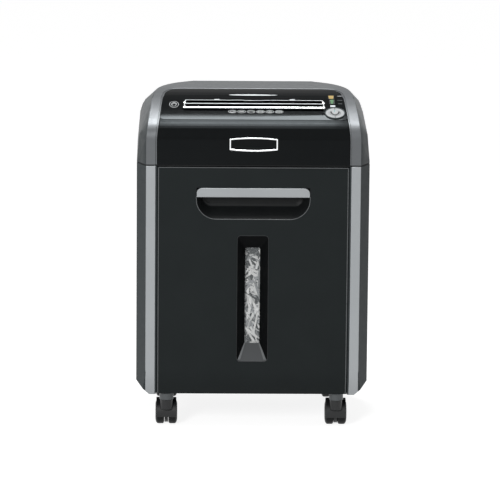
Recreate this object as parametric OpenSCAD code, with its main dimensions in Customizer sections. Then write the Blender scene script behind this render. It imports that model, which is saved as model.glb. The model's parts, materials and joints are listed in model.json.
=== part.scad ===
// Deskside paper shredder on four casters, with a pull-out bin.
// X is left to right, Y is front to back, Z is up from the floor.

/* [Cabinet] */
// Overall width over the cheeks
body_w = 391; // [370:1:410]
// Overall depth from the corner strips to the back
body_d = 265; // [255:1:285]
// Height of the underside above the floor
under_z = 60; // [58:1:66]
// Height of the seam between cabinet and head
seam_z = 457; // [452:1:475]
// Moulded wall thickness
wall = 3; // [2.5:0.1:3.4]
// Width of a light corner strip
strip_w = 16; // [13:0.5:18]
// Width of the slanted front edge of a cheek
facet_w = 15.5; // [12:0.5:18]
// Depth of the slanted front edge of a cheek
facet_d = 26.5; // [22:0.5:32]
// Radius of the upright rear corners
rear_r = 60; // [40:1:64]
// Width of the slanted cut under each cheek
foot_cut_w = 22; // [14:1:24]
// Height of the slanted cut under each cheek
foot_cut_h = 22; // [14:1:26]
// Groove between a corner strip and the black front
groove_w = 2.7; // [2:0.1:3.4]

/* [Head] */
// Height of the head above the seam
head_h = 106; // [104:1:120]
// Height of the seam plate that shows as a dark line
seam_gap = 2; // [1.5:0.1:2.5]
// Height of the flat front of the head
head_flat = 44; // [42:1:50]
// Radius of the rolled front edge
nose_r = 35; // [30:1:38]
// Radius of the rolled rear edge
tail_r = 57; // [48:1:57]
// Depth of the light band across the top
band_d = 63; // [42:1:66]
// Inward lean of the band at the top of the head
band_lean = 11; // [9:0.5:12]
// Height of the cheek shoulders above the seam at the front
shoulder_h = 50; // [48:1:56]
// Rise of the cheek shoulders towards the back
shoulder_rise = 24; // [18:1:26]
// Inward lean of the cheeks at the shoulder
shoulder_lean = 12.5; // [9:0.5:14]
// Depth at which the top deck starts
deck_start = 20; // [18:0.5:22]

/* [Throat] */
// Space between the end of the paper slot and the side frame
slot_side = 5; // [4:0.5:8]
// Depth of the paper slot from front to back
slot_d = 10; // [8:0.5:10]
// Depth of the bezel from front to back
bezel_d = 35; // [32:0.5:37]
// Depth of the bezel centre behind the front face
bezel_at = 65; // [64:0.5:67]
// Height that the bezel stands above the deck
bezel_proud = 2; // [1:0.1:2.5]
// Length of the lens shaped card slot trim
card_w = 82; // [60:1:90]

/* [Keys] */
// Distance of the keys from the side of the black deck
key_in = 24.8; // [24.4:0.1:26]
// Depth of the control cluster behind the front face
key_at = 39; // [38.5:0.5:40]
// Radius of the ring round the keys
ring_r = 17.3; // [16.5:0.1:17.5]
// Radius of the centre key
key_r = 9; // [8:0.1:9.5]
// Travel of each key
key_travel = 1; // [0.5:0.1:1.2]
// Side clearance of each key
key_gap = 0.35; // [0.3:0.05:0.5]

/* [Cutters] */
// Height of the cutter shafts above the seam
shaft_h = 30; // [28:1:32]
// Overlap of each disc past the middle of the nip
disc_lap = 1.5; // [1:0.1:2]
// Thickness of a cutter disc
disc_t = 3.4; // [3:0.1:3.5]
// Distance from disc to disc on one shaft
disc_pitch = 8; // [8:0.1:8.2]
// Space from the end of the slot to the last cutter disc
disc_edge = 7; // [6:0.5:12]
// Clearance from a disc to the opposite shaft
disc_clear = 1.5; // [1:0.1:2.5]
// Radius of a shaft journal
journal_r = 6; // [5:0.5:7]
// Running clearance of the journals
run_gap = 0.05; // [0.02:0.01:0.1]
// Space beside the cutter frame for the gear train
gear_room = 45; // [45:0.5:50]

/* [Drive] */
// Tooth module of the slow gears
slow_module = 2; // [1.96:0.01:2.04]
// Tooth module of the fast gears
fast_module = 1.5; // [1.45:0.01:1.52]
// Teeth of each sync gear
sync_teeth = 20; // [19:1:21]
// Teeth of the drive gear on the rear shaft
drive_teeth = 40; // [38:1:41]
// Teeth of both small pinions
pinion_teeth = 15; // [14:1:16]
// Teeth of the large intermediate gear
large_teeth = 50; // [46:1:51]
// Backlash of every mesh
backlash = 0.3; // [0.2:0.05:0.4]
// Radius of the motor can
motor_r = 38; // [34:1:38]
// Length of the motor can
motor_l = 96; // [80:1:110]

/* [Bin] */
// Distance of the bin front behind the strips
bin_inset = 2; // [1.5:0.1:2.5]
// Full travel of the bin
bin_travel = 235; // [200:1:240]
// Top of the bin tub
tub_z = 378; // [356:1:386]
// Space beside the tub behind the front panel
tub_gap = 11.3; // [7:0.1:21]
// Height of the fill of shreds
fill_z = 322; // [316:1:336]
// Thickness of the crust that stands for the loose shreds
heap_crust = 2.6; // [2:0.1:6]
// Height at which the front turns under
turn_z = 106; // [94:1:114]
// Distance by which the front turns under
turn_in = 13; // [8:0.5:14]

/* [Handle] */
// Width of the grip and its pocket
grip_w = 190; // [170:1:200]
// Height of the grip face
grip_h = 15.6; // [12:0.2:18]
// Drop of the lower edge of the silver lip below the seam
grip_drop = 53.2; // [46:0.2:56]
// Height of the pocket opening below the grip
pocket_h = 38; // [30:1:38]
// Depth of the pocket
pocket_d = 25; // [20:1:28]
// Corner radius at the foot of the pocket
pocket_r = 34; // [20:1:35]

/* [Window] */
// Width of the window recess
recess_w = 53; // [46:1:60]
// Foot of the window recess above the floor
recess_z = 120; // [115:1:128]
// Height of the window recess
recess_h = 218; // [202:1:222]
// Depth of the window recess
recess_d = 18; // [12:1:20]
// Width of the clear opening
pane_w = 25; // [20:1:30]
// Foot of the clear opening above the floor
pane_z = 149; // [144:1:156]
// Height of the clear opening
pane_h = 165; // [150:1:166]

/* [Casters] */
// Distance of the caster stems from the side
caster_in = 51.5; // [50:0.5:58]
// Distance of the front casters behind the front face
caster_front = 31; // [30:1:38]
// Distance of the rear casters in front of the back
caster_rear = 46; // [46:1:52]
// Radius of a caster wheel
wheel_r = 21; // [18:0.5:21.5]
// Width over both wheels of a caster
wheel_span = 37; // [34:0.5:40]
// Distance of the axle behind the swivel stem
trail = 20.5; // [20.5:0.5:23]
// Radius of the swivel stem
stem_r = 4; // [3.5:0.1:5]
// Radius of a caster socket
socket_r = 12; // [10:0.5:13]

/* [Back] */
// Radius of the mains gland bore
gland_bore = 4.2; // [3:0.1:5]
// Sideways place of the mains gland
gland_x = -105; // [-112:1:-95]
// Sideways place of the rocker switch
rocker_x = -68; // [-72:1:-60]
// Swing of the rocker switch to each side
rocker_tilt = 7; // [5:0.5:8]

/* [Hidden] */

$fn = 48;
eps = 0.02;
front = -body_d / 2;
back = body_d / 2;
half = body_w / 2;
strip_out = half - facet_w;
strip_in = strip_out - strip_w;
bin_half = strip_in - groove_w;
tub_half = bin_half - tub_gap;
band_end = body_d - tail_r;
tray_half = strip_in + 1;
frame_w = 2 * (tray_half - gear_room);
slot_w = frame_w - 2 * slot_side;
disc_count = floor((slot_w - 2 * disc_edge + 0.1) / disc_pitch) + 1;
key_x = bin_half - key_in;
caster_x = half - caster_in;
grip_z = seam_z - grip_drop;
head_z = seam_z + seam_gap;
top_z = seam_z + head_h;
fit = 0.15;

// Colours of the moulded and metal pieces
dark = "#3a4043";
light = "#8d9296";
black = "#16181a";
metal = "#b5b8ba";
steel = "#8a8f94";
nylon = "#e6e2d4";

// ---- Outlines -------------------------------------------------------------

function arc(cx, cy, rx, ry, from, to, steps) =
    [for (i = [0:steps]) let (a = from + (to - from) * i / steps) [cx + rx * cos(a), cy + ry * sin(a)]];

// Plan of the right half of the cabinet, drawn in by inset
function plan_right(inset) = concat(
    [[0, front + inset], [strip_out - inset / 2, front + inset]],
    [[half - inset, front + facet_d + inset / 2]],
    arc(half - rear_r, back - rear_r, rear_r - inset, rear_r - inset, 0, 90, 12),
    [[0, back - inset]]
);

function mirrored(points) =
    concat(points, [for (i = [len(points) - 1:-1:0]) [-points[i][0], points[i][1]]]);

function plan(inset) = mirrored(plan_right(inset));

// Side view of the front face where it turns under, as [y, z] set back by offset, down to low
function turn_curve(offset, low) =
    [for (i = [0:8]) let (z = turn_z - (turn_z - low) * i / 8)
        [front + offset + turn_in * pow((turn_z - z) / (turn_z - under_z), 2), z]];

// Plate of the given thickness along X that follows the front face
module front_plate(x0, x1, offset, thick, low, top) {
    rear = turn_curve(offset + thick, low);
    along_x(x0, x1)
        polygon(concat(
            [[front + offset + thick, top], [front + offset, top]],
            turn_curve(offset, low),
            [for (i = [8:-1:0]) rear[i]]
        ));
}

// All the space behind the front face, set back by offset
module behind_front(offset) {
    along_x(-half, half)
        polygon(concat(
            [[back + 1, seam_z + 2], [front + offset, seam_z + 2]],
            turn_curve(offset, under_z),
            [[front + offset + turn_in, under_z - 2], [back + 1, under_z - 2]]
        ));
}

// Rounded rectangle about its centre
function round_rect(w, h, r, steps = 8) = concat(
    arc(w / 2 - r, h / 2 - r, r, r, 0, 90, steps),
    arc(-w / 2 + r, h / 2 - r, r, r, 90, 180, steps),
    arc(-w / 2 + r, -h / 2 + r, r, r, 180, 270, steps),
    arc(w / 2 - r, -h / 2 + r, r, r, 270, 360, steps)
);

// Plate in the XZ plane with its front at y and its thickness towards the back
module upright(y, thick) {
    translate([0, y + thick, 0])
        rotate([90, 0, 0])
            linear_extrude(thick)
                children();
}

// Prism along X between x0 and x1 of an outline given as [y, z]
module along_x(x0, x1) {
    translate([x0, 0, 0])
        rotate([90, 0, 90])
            linear_extrude(x1 - x0)
                children();
}

module rod_x(x0, x1, y, z, r) {
    translate([x0, y, z])
        rotate([0, 90, 0])
            cylinder(h = x1 - x0, r = r);
}

// ---- Form of the head -----------------------------------------------------

nose_turn = 66;
nose_z = seam_z + head_flat;
nose_top = nose_z + nose_r * sin(nose_turn);
crown_r = (top_z - nose_top) / (1 - cos(90 - nose_turn));
crown_y = nose_r * (1 - cos(nose_turn)) + crown_r * sin(90 - nose_turn);

// Height of the crown at a depth behind the front face, past the rolled edge
function crown_z(depth) =
    depth > crown_y ? top_z : top_z - crown_r + sqrt(pow(crown_r, 2) - pow(crown_y - depth, 2));
function crown_slope(depth) = asin((crown_y - depth) / crown_r);

// Side view of the crown as [y, z], drawn in by inset, down to the foot height
function crown_outline(inset, foot) = concat(
    [[front + inset, foot]],
    arc(front + nose_r, nose_z, nose_r - inset, nose_r - inset, 180, 180 - nose_turn, 12),
    arc(front + crown_y, top_z - crown_r, crown_r - inset, crown_r - inset, 180 - nose_turn, 90, 10),
    [[front + band_end, top_z - inset], [front + band_end, foot]]
);

tail_knee = 0.98;

// Side view of the cheeks as [y, z]
function cheek_outline(inset, foot) = [
    [front + facet_d + inset / 2, foot],
    [front + facet_d + inset / 2, seam_z + shoulder_h - inset],
    [front + facet_d + 33, seam_z + shoulder_h + shoulder_rise * 0.25 - inset],
    [front + 155, seam_z + shoulder_h + shoulder_rise - inset],
    [back - tail_r, seam_z + shoulder_h + shoulder_rise - inset],
    [back - inset, seam_z + shoulder_h * tail_knee - inset],
    [back - inset, foot],
];

// Front view of half the crown: the edges lean in towards the top
function lean(z) = band_lean * pow(max(0, (z - nose_z) / (top_z - nose_z)), 1.6);
function crown_front(half_w, foot) = concat(
    [[0, foot], [half_w, foot]],
    [for (i = [0:8]) let (z = nose_z + (top_z + 1 - nose_z) * i / 8) [half_w - lean(z), z]],
    [[0, top_z + 1]]
);

// Plan of the crown with elliptical rear corners; corner is [x radius, y radius]
function crown_plan_right(half_w, rear, corner) = concat(
    [[0, front - 1], [half_w, front - 1], [half_w, front + 60]],
    arc(half_w - band_lean - corner[0], front + rear - corner[1], corner[0], corner[1], 0, 90, 14),
    [[0, front + rear]]
);

band_corner = [73, 114];
deck_corner = [30, 39];

// Column under the crown, as wide as half_w at the nose and cut at the rear outline
module crown_zone(half_w, rear, corner, foot) {
    intersection() {
        upright(front - 1, body_d)
            polygon(mirrored(crown_front(half_w, foot)));
        translate([0, 0, foot - 1])
            linear_extrude(top_z + 3 - foot)
                polygon(mirrored(crown_plan_right(half_w, rear, corner)));
    }
}

// Crown with its leaning sides and its rear corners, drawn in by inset
module crown_block(inset, foot) {
    intersection() {
        along_x(-strip_out, strip_out)
            polygon(crown_outline(inset, foot));
        upright(front - 1, body_d)
            polygon(mirrored(crown_front(strip_out - inset / 2, foot)));
        translate([0, 0, foot - 1])
            linear_extrude(top_z + 3 - foot)
                polygon(mirrored(crown_plan_right(strip_out, band_end - inset, band_corner)));
    }
}

// Cheek slab: full plan of the cabinet under the shoulder line
module cheek_block(inset, foot) {
    cheek_top = seam_z + shoulder_h + shoulder_rise;
    lean_points = [
        [0, foot], [half - inset, foot],
        [half - inset - shoulder_lean * 0.34, seam_z + shoulder_h],
        [half - inset - shoulder_lean, cheek_top],
        [0, cheek_top],
    ];
    intersection() {
        along_x(-half, half)
            polygon(cheek_outline(inset, foot));
        upright(front - 1, body_d + 2)
            polygon(mirrored(lean_points));
        translate([0, 0, foot - 1])
            linear_extrude(top_z - foot)
                polygon(mirrored(concat(
                    [[0, front], [half, front]],
                    arc(half - rear_r, back - rear_r, rear_r - inset, rear_r - inset, 0, 90, 12),
                    [[0, back]]
                )));
    }
}

// Outer form of the head, drawn in by inset
module head_form(inset, foot) {
    tail_half = strip_out - band_corner[0] - 6;
    hull() {
        crown_block(inset, foot);
        cheek_block(inset, foot);
        rod_x(-tail_half, tail_half, back - tail_r, top_z - tail_r, tail_r - inset, $fn = 64);
    }
}

// Skin of the head between two insets
module head_skin(outer, inner) {
    difference() {
        head_form(outer, head_z);
        head_form(inner, head_z - 1);
        translate([-body_w, -body_d, 0])
            cube([2 * body_w, 2 * body_d, head_z]);
    }
}

// Places x on the crown at a depth behind the front face, tilted as the crown is
module on_deck(depth, x = 0) {
    translate([x, front + depth, crown_z(depth)])
        rotate([crown_slope(depth), 0, 0])
            children();
}

// ---- Head: covers and trims -------------------------------------------------

deck_rear = band_end - band_d;
deck_nose = [12, 16];

module deck_column(grow) {
    w = bin_half + grow;
    translate([0, 0, seam_z])
        linear_extrude(head_h + 10)
            polygon(mirrored(concat(
                [[0, front + deck_start - grow]],
                arc(w - deck_nose[0], front + deck_start - grow + deck_nose[1],
                    deck_nose[0], deck_nose[1], 270, 360, 8),
                [[w, back], [0, back]]
            )));
}

service_z = seam_z + 30;
vent_count = 13;
vent_first = 10;
vent_pitch = 8;
vent_size = [3.2, 34];
rocker_frame = [24, 32];

module head_shell() {
    color(dark)
        difference() {
            head_skin(0, wall);
            crown_zone(strip_out, band_end, band_corner, seam_z - 5);
            translate([gland_x, back - 2 * wall, service_z])
                rotate([-90, 0, 0])
                    cylinder(h = 3 * wall, r = gland_r + eps);
            translate([rocker_x, back - wall, service_z])
                cube([rocker_frame[0] + eps, 3 * wall, rocker_frame[1] + eps], center = true);
            for (i = [0:vent_count - 1])
                translate([vent_first + vent_pitch * i, back - wall, service_z])
                    cube([vent_size[0], 3 * wall, vent_size[1]], center = true);
        }
}

groove_depth = 1.5;

module head_band() {
    color(light) {
        difference() {
            intersection() {
                head_skin(0, wall);
                crown_zone(strip_out, band_end, band_corner, seam_z - 5);
            }
            crown_zone(strip_in, deck_rear, deck_corner, seam_z - 6);
        }
        band_groove();
    }
}

// Floor of the groove between the band and the black covers
module band_groove() {
    difference() {
        intersection() {
            head_skin(groove_depth, wall);
            crown_zone(strip_in + 1, deck_rear + 1, deck_corner, seam_z - 5);
        }
        crown_zone(bin_half + fit, deck_rear - groove_w, deck_corner, seam_z - 6);
    }
}

plate_w = 81;
plate_h = 24;
plate_t = 1;
plate_bow = 2.3;

// Plate outline with bowed upper and lower edges
function plate_outline(grow) =
    let (w = plate_w / 2 + grow, h = plate_h / 2 + grow)
    concat(
        [for (i = [-8:8]) [w * i / 8, h - plate_bow * pow(i / 8, 2)]],
        [for (i = [8:-1:-8]) [w * i / 8, -h + plate_bow * pow(i / 8, 2)]]
    );
plate_z = seam_z + 37;

module head_fascia() {
    color(black)
        difference() {
            intersection() {
                head_skin(0, wall);
                crown_zone(bin_half, deck_rear - groove_w, deck_corner, seam_z - 5);
            }
            deck_column(fit);
            upright(front - 1, plate_t + 1)
                translate([0, plate_z])
                    polygon(plate_outline(eps / 2));
        }
}

module name_plate() {
    color(metal)
        upright(front, plate_t)
            translate([0, plate_z])
                polygon(plate_outline(0));
}

lens_places = [[key_x - 5, 97.5, 10, 15], [key_x - 4, 78.5, 9.3, 17], [key_x - 3, 62.3, 9.3, 7]];
lens_t = 2;
card_d = 5;
card_at = 106;

function card_outline(grow) = concat(
    arc(0, 0, card_w / 2 + grow, card_d / 2 + grow, 0, 350, 35)
);

module lens(place, grow, above) {
    on_deck(place[1], place[0])
        translate([0, 0, -lens_t - grow])
            linear_extrude(lens_t + grow + above)
                polygon(round_rect(place[2] + 2 * grow, place[3] + 2 * grow, 1.2, 4));
}

bezel_w = slot_w + 8;
bezel_t = 4;
bezel_rim = 4;
slot_rear = bezel_d / 2 - bezel_rim - 1;
ring_depth = 9;

module control_deck() {
    color(black)
        difference() {
            intersection() {
                head_skin(0, wall);
                crown_zone(bin_half, deck_rear - groove_w, deck_corner, seam_z - 5);
                deck_column(0);
            }
            on_deck(bezel_at)
                translate([-bezel_w / 2 + 2, -bezel_d / 2 + 2, -20])
                    cube([bezel_w - 4, bezel_d - 4, 30]);
            on_deck(bezel_at)
                translate([-bezel_w / 2 - eps, -bezel_d / 2 - eps, bezel_proud - bezel_t - eps])
                    cube([bezel_w + 2 * eps, bezel_d + 2 * eps, 30]);
            on_deck(key_at, key_x)
                translate([0, 0, -ring_depth - 2])
                    cylinder(h = ring_depth + 12, r = ring_r + eps);
            for (place = lens_places)
                lens(place, eps, 3);
            on_deck(card_at)
                translate([0, 0, -1.5])
                    linear_extrude(4)
                        polygon(card_outline(eps));
        }
}

module throat_bezel() {
    mid_rail = 1.6;
    lead_rear = slot_rear - slot_d - mid_rail;
    color(metal)
        on_deck(bezel_at)
            translate([0, 0, bezel_proud - bezel_t])
                difference() {
                    linear_extrude(bezel_t)
                        polygon(round_rect(bezel_w, bezel_d, 4, 6));
                    translate([-slot_w / 2, slot_rear - slot_d, -1])
                        cube([slot_w, slot_d, bezel_t + 2]);
                    translate([-slot_w / 2, -bezel_d / 2 + bezel_rim, 1.5])
                        cube([slot_w, lead_rear + bezel_d / 2 - bezel_rim, bezel_t]);
                }
}

module card_slot_trim() {
    color(metal)
        on_deck(card_at)
            translate([0, 0, -1.5])
                difference() {
                    linear_extrude(2)
                        polygon(card_outline(0));
                    translate([-card_w / 2 + 8, -0.6, 0.5])
                        cube([card_w - 16, 1.2, 3]);
                }
}

module amber_lens() {
    color("#d9a63a") lens(lens_places[0], 0, 0);
}

module green_lens() {
    color("#3f9a55") lens(lens_places[1], 0, 0);
}

module white_lens() {
    color("#e8ecee") lens(lens_places[2], 0, 0);
}

// ---- Head: keys -------------------------------------------------------------

ring_t = 1.4;
key_t = 4;
key_top = 1;

module key_ring() {
    color(dark)
        on_deck(key_at, key_x)
            difference() {
                translate([0, 0, -ring_depth])
                    cylinder(h = ring_depth + 1.5, r = ring_r);
                translate([0, 0, -ring_depth + 2])
                    cylinder(h = ring_depth + 5, r = ring_r - ring_t);
            }
}

module control_key() {
    color(light)
        on_deck(key_at, key_x) {
            translate([0, 0, key_top - key_t])
                cylinder(h = key_t + 0.3, r = key_r);
            translate([0, 0, -ring_depth + 2 + key_travel + 0.3])
                cylinder(h = 4, r = 3);
        }
}

// One of the two crescent keys beside the centre key
module crescent_key(side) {
    outer = ring_r - ring_t - key_gap;
    inner = key_r + key_gap;
    color(metal)
        on_deck(key_at, key_x) {
            difference() {
                translate([0, 0, key_top - key_t])
                    cylinder(h = key_t, r = outer);
                translate([0, 0, -key_t])
                    cylinder(h = 3 * key_t, r = inner);
                translate([side > 0 ? -2 * outer + key_gap : -key_gap, -outer - 1, -2 * key_t])
                    cube([2 * outer, 2 * outer + 2, 4 * key_t]);
            }
            translate([side * (inner + outer) / 2, 0, -ring_depth + 2 + key_travel + 0.3])
                cylinder(h = 4, r = 2);
        }
}

module reverse_key() {
    crescent_key(-1);
}

module forward_key() {
    crescent_key(1);
}

// ---- Cutter block -----------------------------------------------------------

shaft_gap = slow_module * sync_teeth;
disc_r = shaft_gap / 2 + disc_lap;
spacer_r = shaft_gap / 2 - disc_lap - disc_clear;
nip_y = front + bezel_at;
shaft_z = seam_z + shaft_h;
front_y = nip_y - shaft_gap / 2;
rear_y = nip_y + shaft_gap / 2;
half_frame = frame_w / 2;
frame_t = 3;
bush_r = journal_r + 3;
bush_l = 6;
sync_x = half_frame + frame_t + 2;
sync_t = 10;
drive_x = sync_x + sync_t + 2.5;
drive_t = 8;
large_x = drive_x + drive_t + 2.5;
large_t = 7;
cover_in = large_x + large_t + 2;
cover_t = 2.5;
cover_out = cover_in + cover_t;
pressure = 20;
addendum = 0.8;
dedendum = 1.2;

function pitch_r(m, teeth) = m * teeth / 2;
function roll(base, r) = let (t = sqrt(max(0, pow(r / base, 2) - 1))) t * 180 / PI - atan(t);
// Half the angle that a tooth takes at radius r
function tooth_half(m, teeth, r) =
    let (p = pitch_r(m, teeth), base = p * cos(pressure))
    (PI * m - backlash) / p / 4 * 180 / PI + roll(base, p) - roll(base, max(base, r));
function gear_outline(m, teeth, turn) =
    let (
        tip = pitch_r(m, teeth) + addendum * m,
        root = pitch_r(m, teeth) - dedendum * m,
        steps = 4
    )
    [for (i = [0:teeth - 1], side = [-1, 1], k = [0:steps])
        let (
            r = side < 0 ? root + (tip - root) * k / steps : tip - (tip - root) * k / steps,
            a = turn + 360 * i / teeth + side * tooth_half(m, teeth, r)
        )
        [r * cos(a), r * sin(a)]];

// Spur gear along X about [y, z]; turn is the angle of tooth 0 from +Y towards +Z
module gear(m, teeth, turn, x, t, y, z, bore) {
    translate([x, y, z])
        rotate([90, 0, 90])
            difference() {
                linear_extrude(t)
                    polygon(gear_outline(m, teeth, turn));
                if (bore > 0)
                    translate([0, 0, -1])
                        cylinder(h = t + 2, r = bore);
            }
}

lay_slow = 16;
slow_reach = pitch_r(slow_module, drive_teeth) + pitch_r(slow_module, pinion_teeth);
mid_y = rear_y + slow_reach * cos(lay_slow);
mid_z = shaft_z + slow_reach * sin(lay_slow);
lay_fast = -20;
fast_reach = pitch_r(fast_module, large_teeth) + pitch_r(fast_module, pinion_teeth);
motor_y = mid_y + fast_reach * cos(lay_fast);
motor_z = mid_z + fast_reach * sin(lay_fast);
mid_r = 5;
rotor_r = 5;

// Shaft with its discs along X; shift moves the discs against the other shaft
module cutter(y, x_end, shift) {
    span = disc_pitch * (disc_count - 1);
    notch_r = 2.2;
    difference() {
        union() {
            rod_x(-half_frame - 6, x_end, y, shaft_z, journal_r);
            rod_x(-half_frame + 4, half_frame - 4, y, shaft_z, spacer_r);
            for (i = [0:disc_count - 1])
                rod_x(-span / 2 + i * disc_pitch + shift - disc_t / 2,
                      -span / 2 + i * disc_pitch + shift + disc_t / 2, y, shaft_z, disc_r);
        }
        for (a = [30:120:270])
            rod_x(-half_frame, half_frame, y + disc_r * cos(a), shaft_z + disc_r * sin(a), notch_r);
    }
}

module front_cutter() {
    color(steel) cutter(front_y, sync_x + sync_t, -disc_pitch / 4);
}

module rear_cutter() {
    color(steel) cutter(rear_y, drive_x + drive_t, disc_pitch / 4);
}

module front_sync_gear() {
    color(steel)
        gear(slow_module, sync_teeth, 0, sync_x, sync_t, front_y, shaft_z, journal_r);
}

module rear_sync_gear() {
    color(steel)
        gear(slow_module, sync_teeth, 180 + 180 / sync_teeth, sync_x, sync_t, rear_y, shaft_z, journal_r);
}

module drive_gear() {
    color(nylon)
        gear(slow_module, drive_teeth, lay_slow, drive_x, drive_t, rear_y, shaft_z, journal_r);
}

module intermediate_gear() {
    slow_turn = 180 + lay_slow + 180 / pinion_teeth;
    color(nylon)
        union() {
            gear(slow_module, pinion_teeth, slow_turn, drive_x - 1, large_x - drive_x + 1, mid_y, mid_z, 0);
            gear(fast_module, large_teeth, lay_fast, large_x, large_t, mid_y, mid_z, 0);
            rod_x(half_frame + eps, cover_out, mid_y, mid_z, mid_r);
        }
}

fan_r = 30;
fan_t = 12;
fan_gap = 4;
fan_slot = [9, 30, 8];

module motor_rotor() {
    turn = 180 + lay_fast + 180 / pinion_teeth;
    fan_x = half_frame - motor_l - fan_gap - fan_t;
    color(metal)
        union() {
            rod_x(fan_x - 2, cover_out, motor_y, motor_z, rotor_r);
            rod_x(half_frame - motor_l + 12, half_frame - 12, motor_y, motor_z, motor_r - 7);
            gear(fast_module, pinion_teeth, turn, large_x - 0.5, large_t + 1, motor_y, motor_z, 0);
            difference() {
                rod_x(fan_x, fan_x + fan_t, motor_y, motor_z, fan_r);
                for (a = [0:45:315])
                    translate([fan_x - 1, motor_y, motor_z])
                        rotate([a, 0, 0])
                            translate([0, fan_r * 0.4, 2])
                                cube(fan_slot);
            }
        }
}

module motor_body() {
    inner = motor_r - 4;
    color(steel)
        difference() {
            rod_x(half_frame - motor_l, half_frame, motor_y, motor_z, motor_r);
            rod_x(half_frame - motor_l + 4, half_frame - 4, motor_y, motor_z, inner);
            rod_x(half_frame - motor_l - 1, half_frame + 1, motor_y, motor_z, rotor_r + run_gap);
            for (a = [0:60:300])
                translate([half_frame - motor_l + 10, motor_y, motor_z])
                    rotate([a, 0, 0])
                        translate([0, -3, inner - 2])
                            cube([motor_l - 20, 6, 10]);
            motor_screw_shafts(screw_r + eps, 4);
        }
}

screw_r = 2;
head_r = 3.6;
head_t = 2.4;

motor_screw_angles = [75, 195, 315];

module motor_screw_shafts(r, reach) {
    for (a = motor_screw_angles)
        rod_x(half_frame - reach, half_frame + frame_t,
              motor_y + (motor_r - 9) * cos(a), motor_z + (motor_r - 9) * sin(a), r);
}

frame_foot = seam_z - 22;
frame_top = seam_z + 70;
frame_lap = 28;
frame_tail = 36;
rod_places = [[front_y - 6, shaft_z - 36], [rear_y + 22, shaft_z - 30], [rear_y + 24, shaft_z + 28]];

module side_frame(x, rear_edge) {
    difference() {
        along_x(x, x + frame_t)
            polygon([
                [front_y - frame_lap, frame_foot], [front_y - frame_lap, shaft_z + frame_lap],
                [front_y - 22, frame_top - 8], [nip_y - 8, frame_top - 8],
                [nip_y + 8, frame_top], [rear_edge - 10, frame_top],
                [rear_edge, frame_top - 12], [rear_edge, frame_foot],
            ]);
        for (y = [front_y, rear_y])
            rod_x(x - 1, x + frame_t + 1, y, shaft_z, bush_r);
        tie_rod_set(x - 1, x + frame_t + 1, 2.5 + eps);
    }
}

module tie_rod_set(x0, x1, r) {
    for (place = rod_places)
        rod_x(x0, x1, place[0], place[1], r);
}

module left_side_frame() {
    color(steel) side_frame(-half_frame - frame_t, rear_y + frame_tail);
}

module right_side_frame() {
    color(steel)
        difference() {
            side_frame(half_frame, motor_y + motor_r + 4);
            rod_x(half_frame - 1, half_frame + frame_t + 1, mid_y, mid_z, mid_r + run_gap);
            rod_x(half_frame - 1, half_frame + frame_t + 1, motor_y, motor_z, rotor_r + 1);
            motor_screw_shafts(screw_r + eps, 1);
            cover_screw_shafts(screw_r + eps, half_frame - 1);
        }
}

module cutter_bushes() {
    color("#b08a4a")
        for (x = [-half_frame - frame_t - 1.5, half_frame - 1.5], y = [front_y, rear_y])
            difference() {
                rod_x(x, x + bush_l, y, shaft_z, bush_r);
                rod_x(x - 1, x + bush_l + 1, y, shaft_z, journal_r + run_gap);
            }
}

module tie_rods() {
    color(metal) {
        tie_rod_set(-half_frame - frame_t, half_frame + frame_t, 2.5);
        tie_rod_set(-half_frame, half_frame, 4);
    }
}

// Combs that keep shreds from wrapping round the shafts
module stripper_combs() {
    span = disc_pitch * (disc_count - 1);
    finger_t = disc_pitch - disc_t - 2;
    reach = spacer_r + 1;
    color(steel) {
        for (side = [-1, 1]) {
            axis_y = side < 0 ? front_y : rear_y;
            shift = side * disc_pitch / 4;
            bar_y = axis_y + side * (disc_r + 2);
            translate([-half_frame, min(bar_y, bar_y + side * 3), shaft_z - 8])
                cube([frame_w, 3, 16]);
            for (i = [0:disc_count - 2])
                translate([
                    -span / 2 + (i + 0.5) * disc_pitch + shift - finger_t / 2,
                    min(axis_y + side * reach, bar_y), shaft_z - 6
                ])
                    cube([finger_t, abs(bar_y - axis_y - side * reach), 12]);
        }
    }
}

module throat_guides() {
    guide_t = 1.8;
    foot_half = 5;
    slope = crown_slope(bezel_at);
    foot_z = shaft_z + disc_r + 2;
    slot_y = nip_y + (slot_rear - slot_d / 2) * cos(slope);
    under_z = crown_z(bezel_at) + (bezel_proud - bezel_t) / cos(slope) - 2 * fit;
    color(black)
        for (side = [-1, 1]) {
            top_y = slot_y + side * (slot_d / 2 + 0.6);
            outer_y = top_y + side * guide_t;
            foot_y = nip_y + side * foot_half;
            along_x(-bezel_w / 2 + 2.5, bezel_w / 2 - 2.5)
                polygon([
                    [foot_y, foot_z], [top_y, under_z + (top_y - nip_y) * tan(slope)],
                    [outer_y, under_z + (outer_y - nip_y) * tan(slope)], [foot_y + side * guide_t, foot_z],
                ]);
        }
}

case_t = 2;
front_case_r = pitch_r(slow_module, sync_teeth) + 4;
rear_case_r = pitch_r(slow_module, drive_teeth) + 4;
mid_case_r = pitch_r(fast_module, large_teeth) + 4;
motor_case_r = pitch_r(fast_module, pinion_teeth) + 5;

module gear_case(grow) {
    hull() {
        translate([front_y, shaft_z]) circle(r = front_case_r + grow, $fn = 32);
        translate([rear_y, shaft_z]) circle(r = rear_case_r + grow, $fn = 32);
        translate([mid_y, mid_z]) circle(r = mid_case_r + grow, $fn = 32);
        translate([motor_y, motor_z]) circle(r = motor_case_r + grow, $fn = 32);
    }
}

ear_r = 6;
ear_t = 4;
// Screw place on an ear outside the case circle about y, z
function ear(y, z, r, a) =
    let (reach = r + case_t + ear_r - 0.8)
    [y + reach * cos(a), z + reach * sin(a)];
cover_screws = [
    ear(front_y, shaft_z, front_case_r, 130),
    ear(front_y, shaft_z, front_case_r, 240),
    ear(motor_y, motor_z, motor_case_r, 39),
    ear(motor_y, motor_z, motor_case_r, -75),
];

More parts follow.
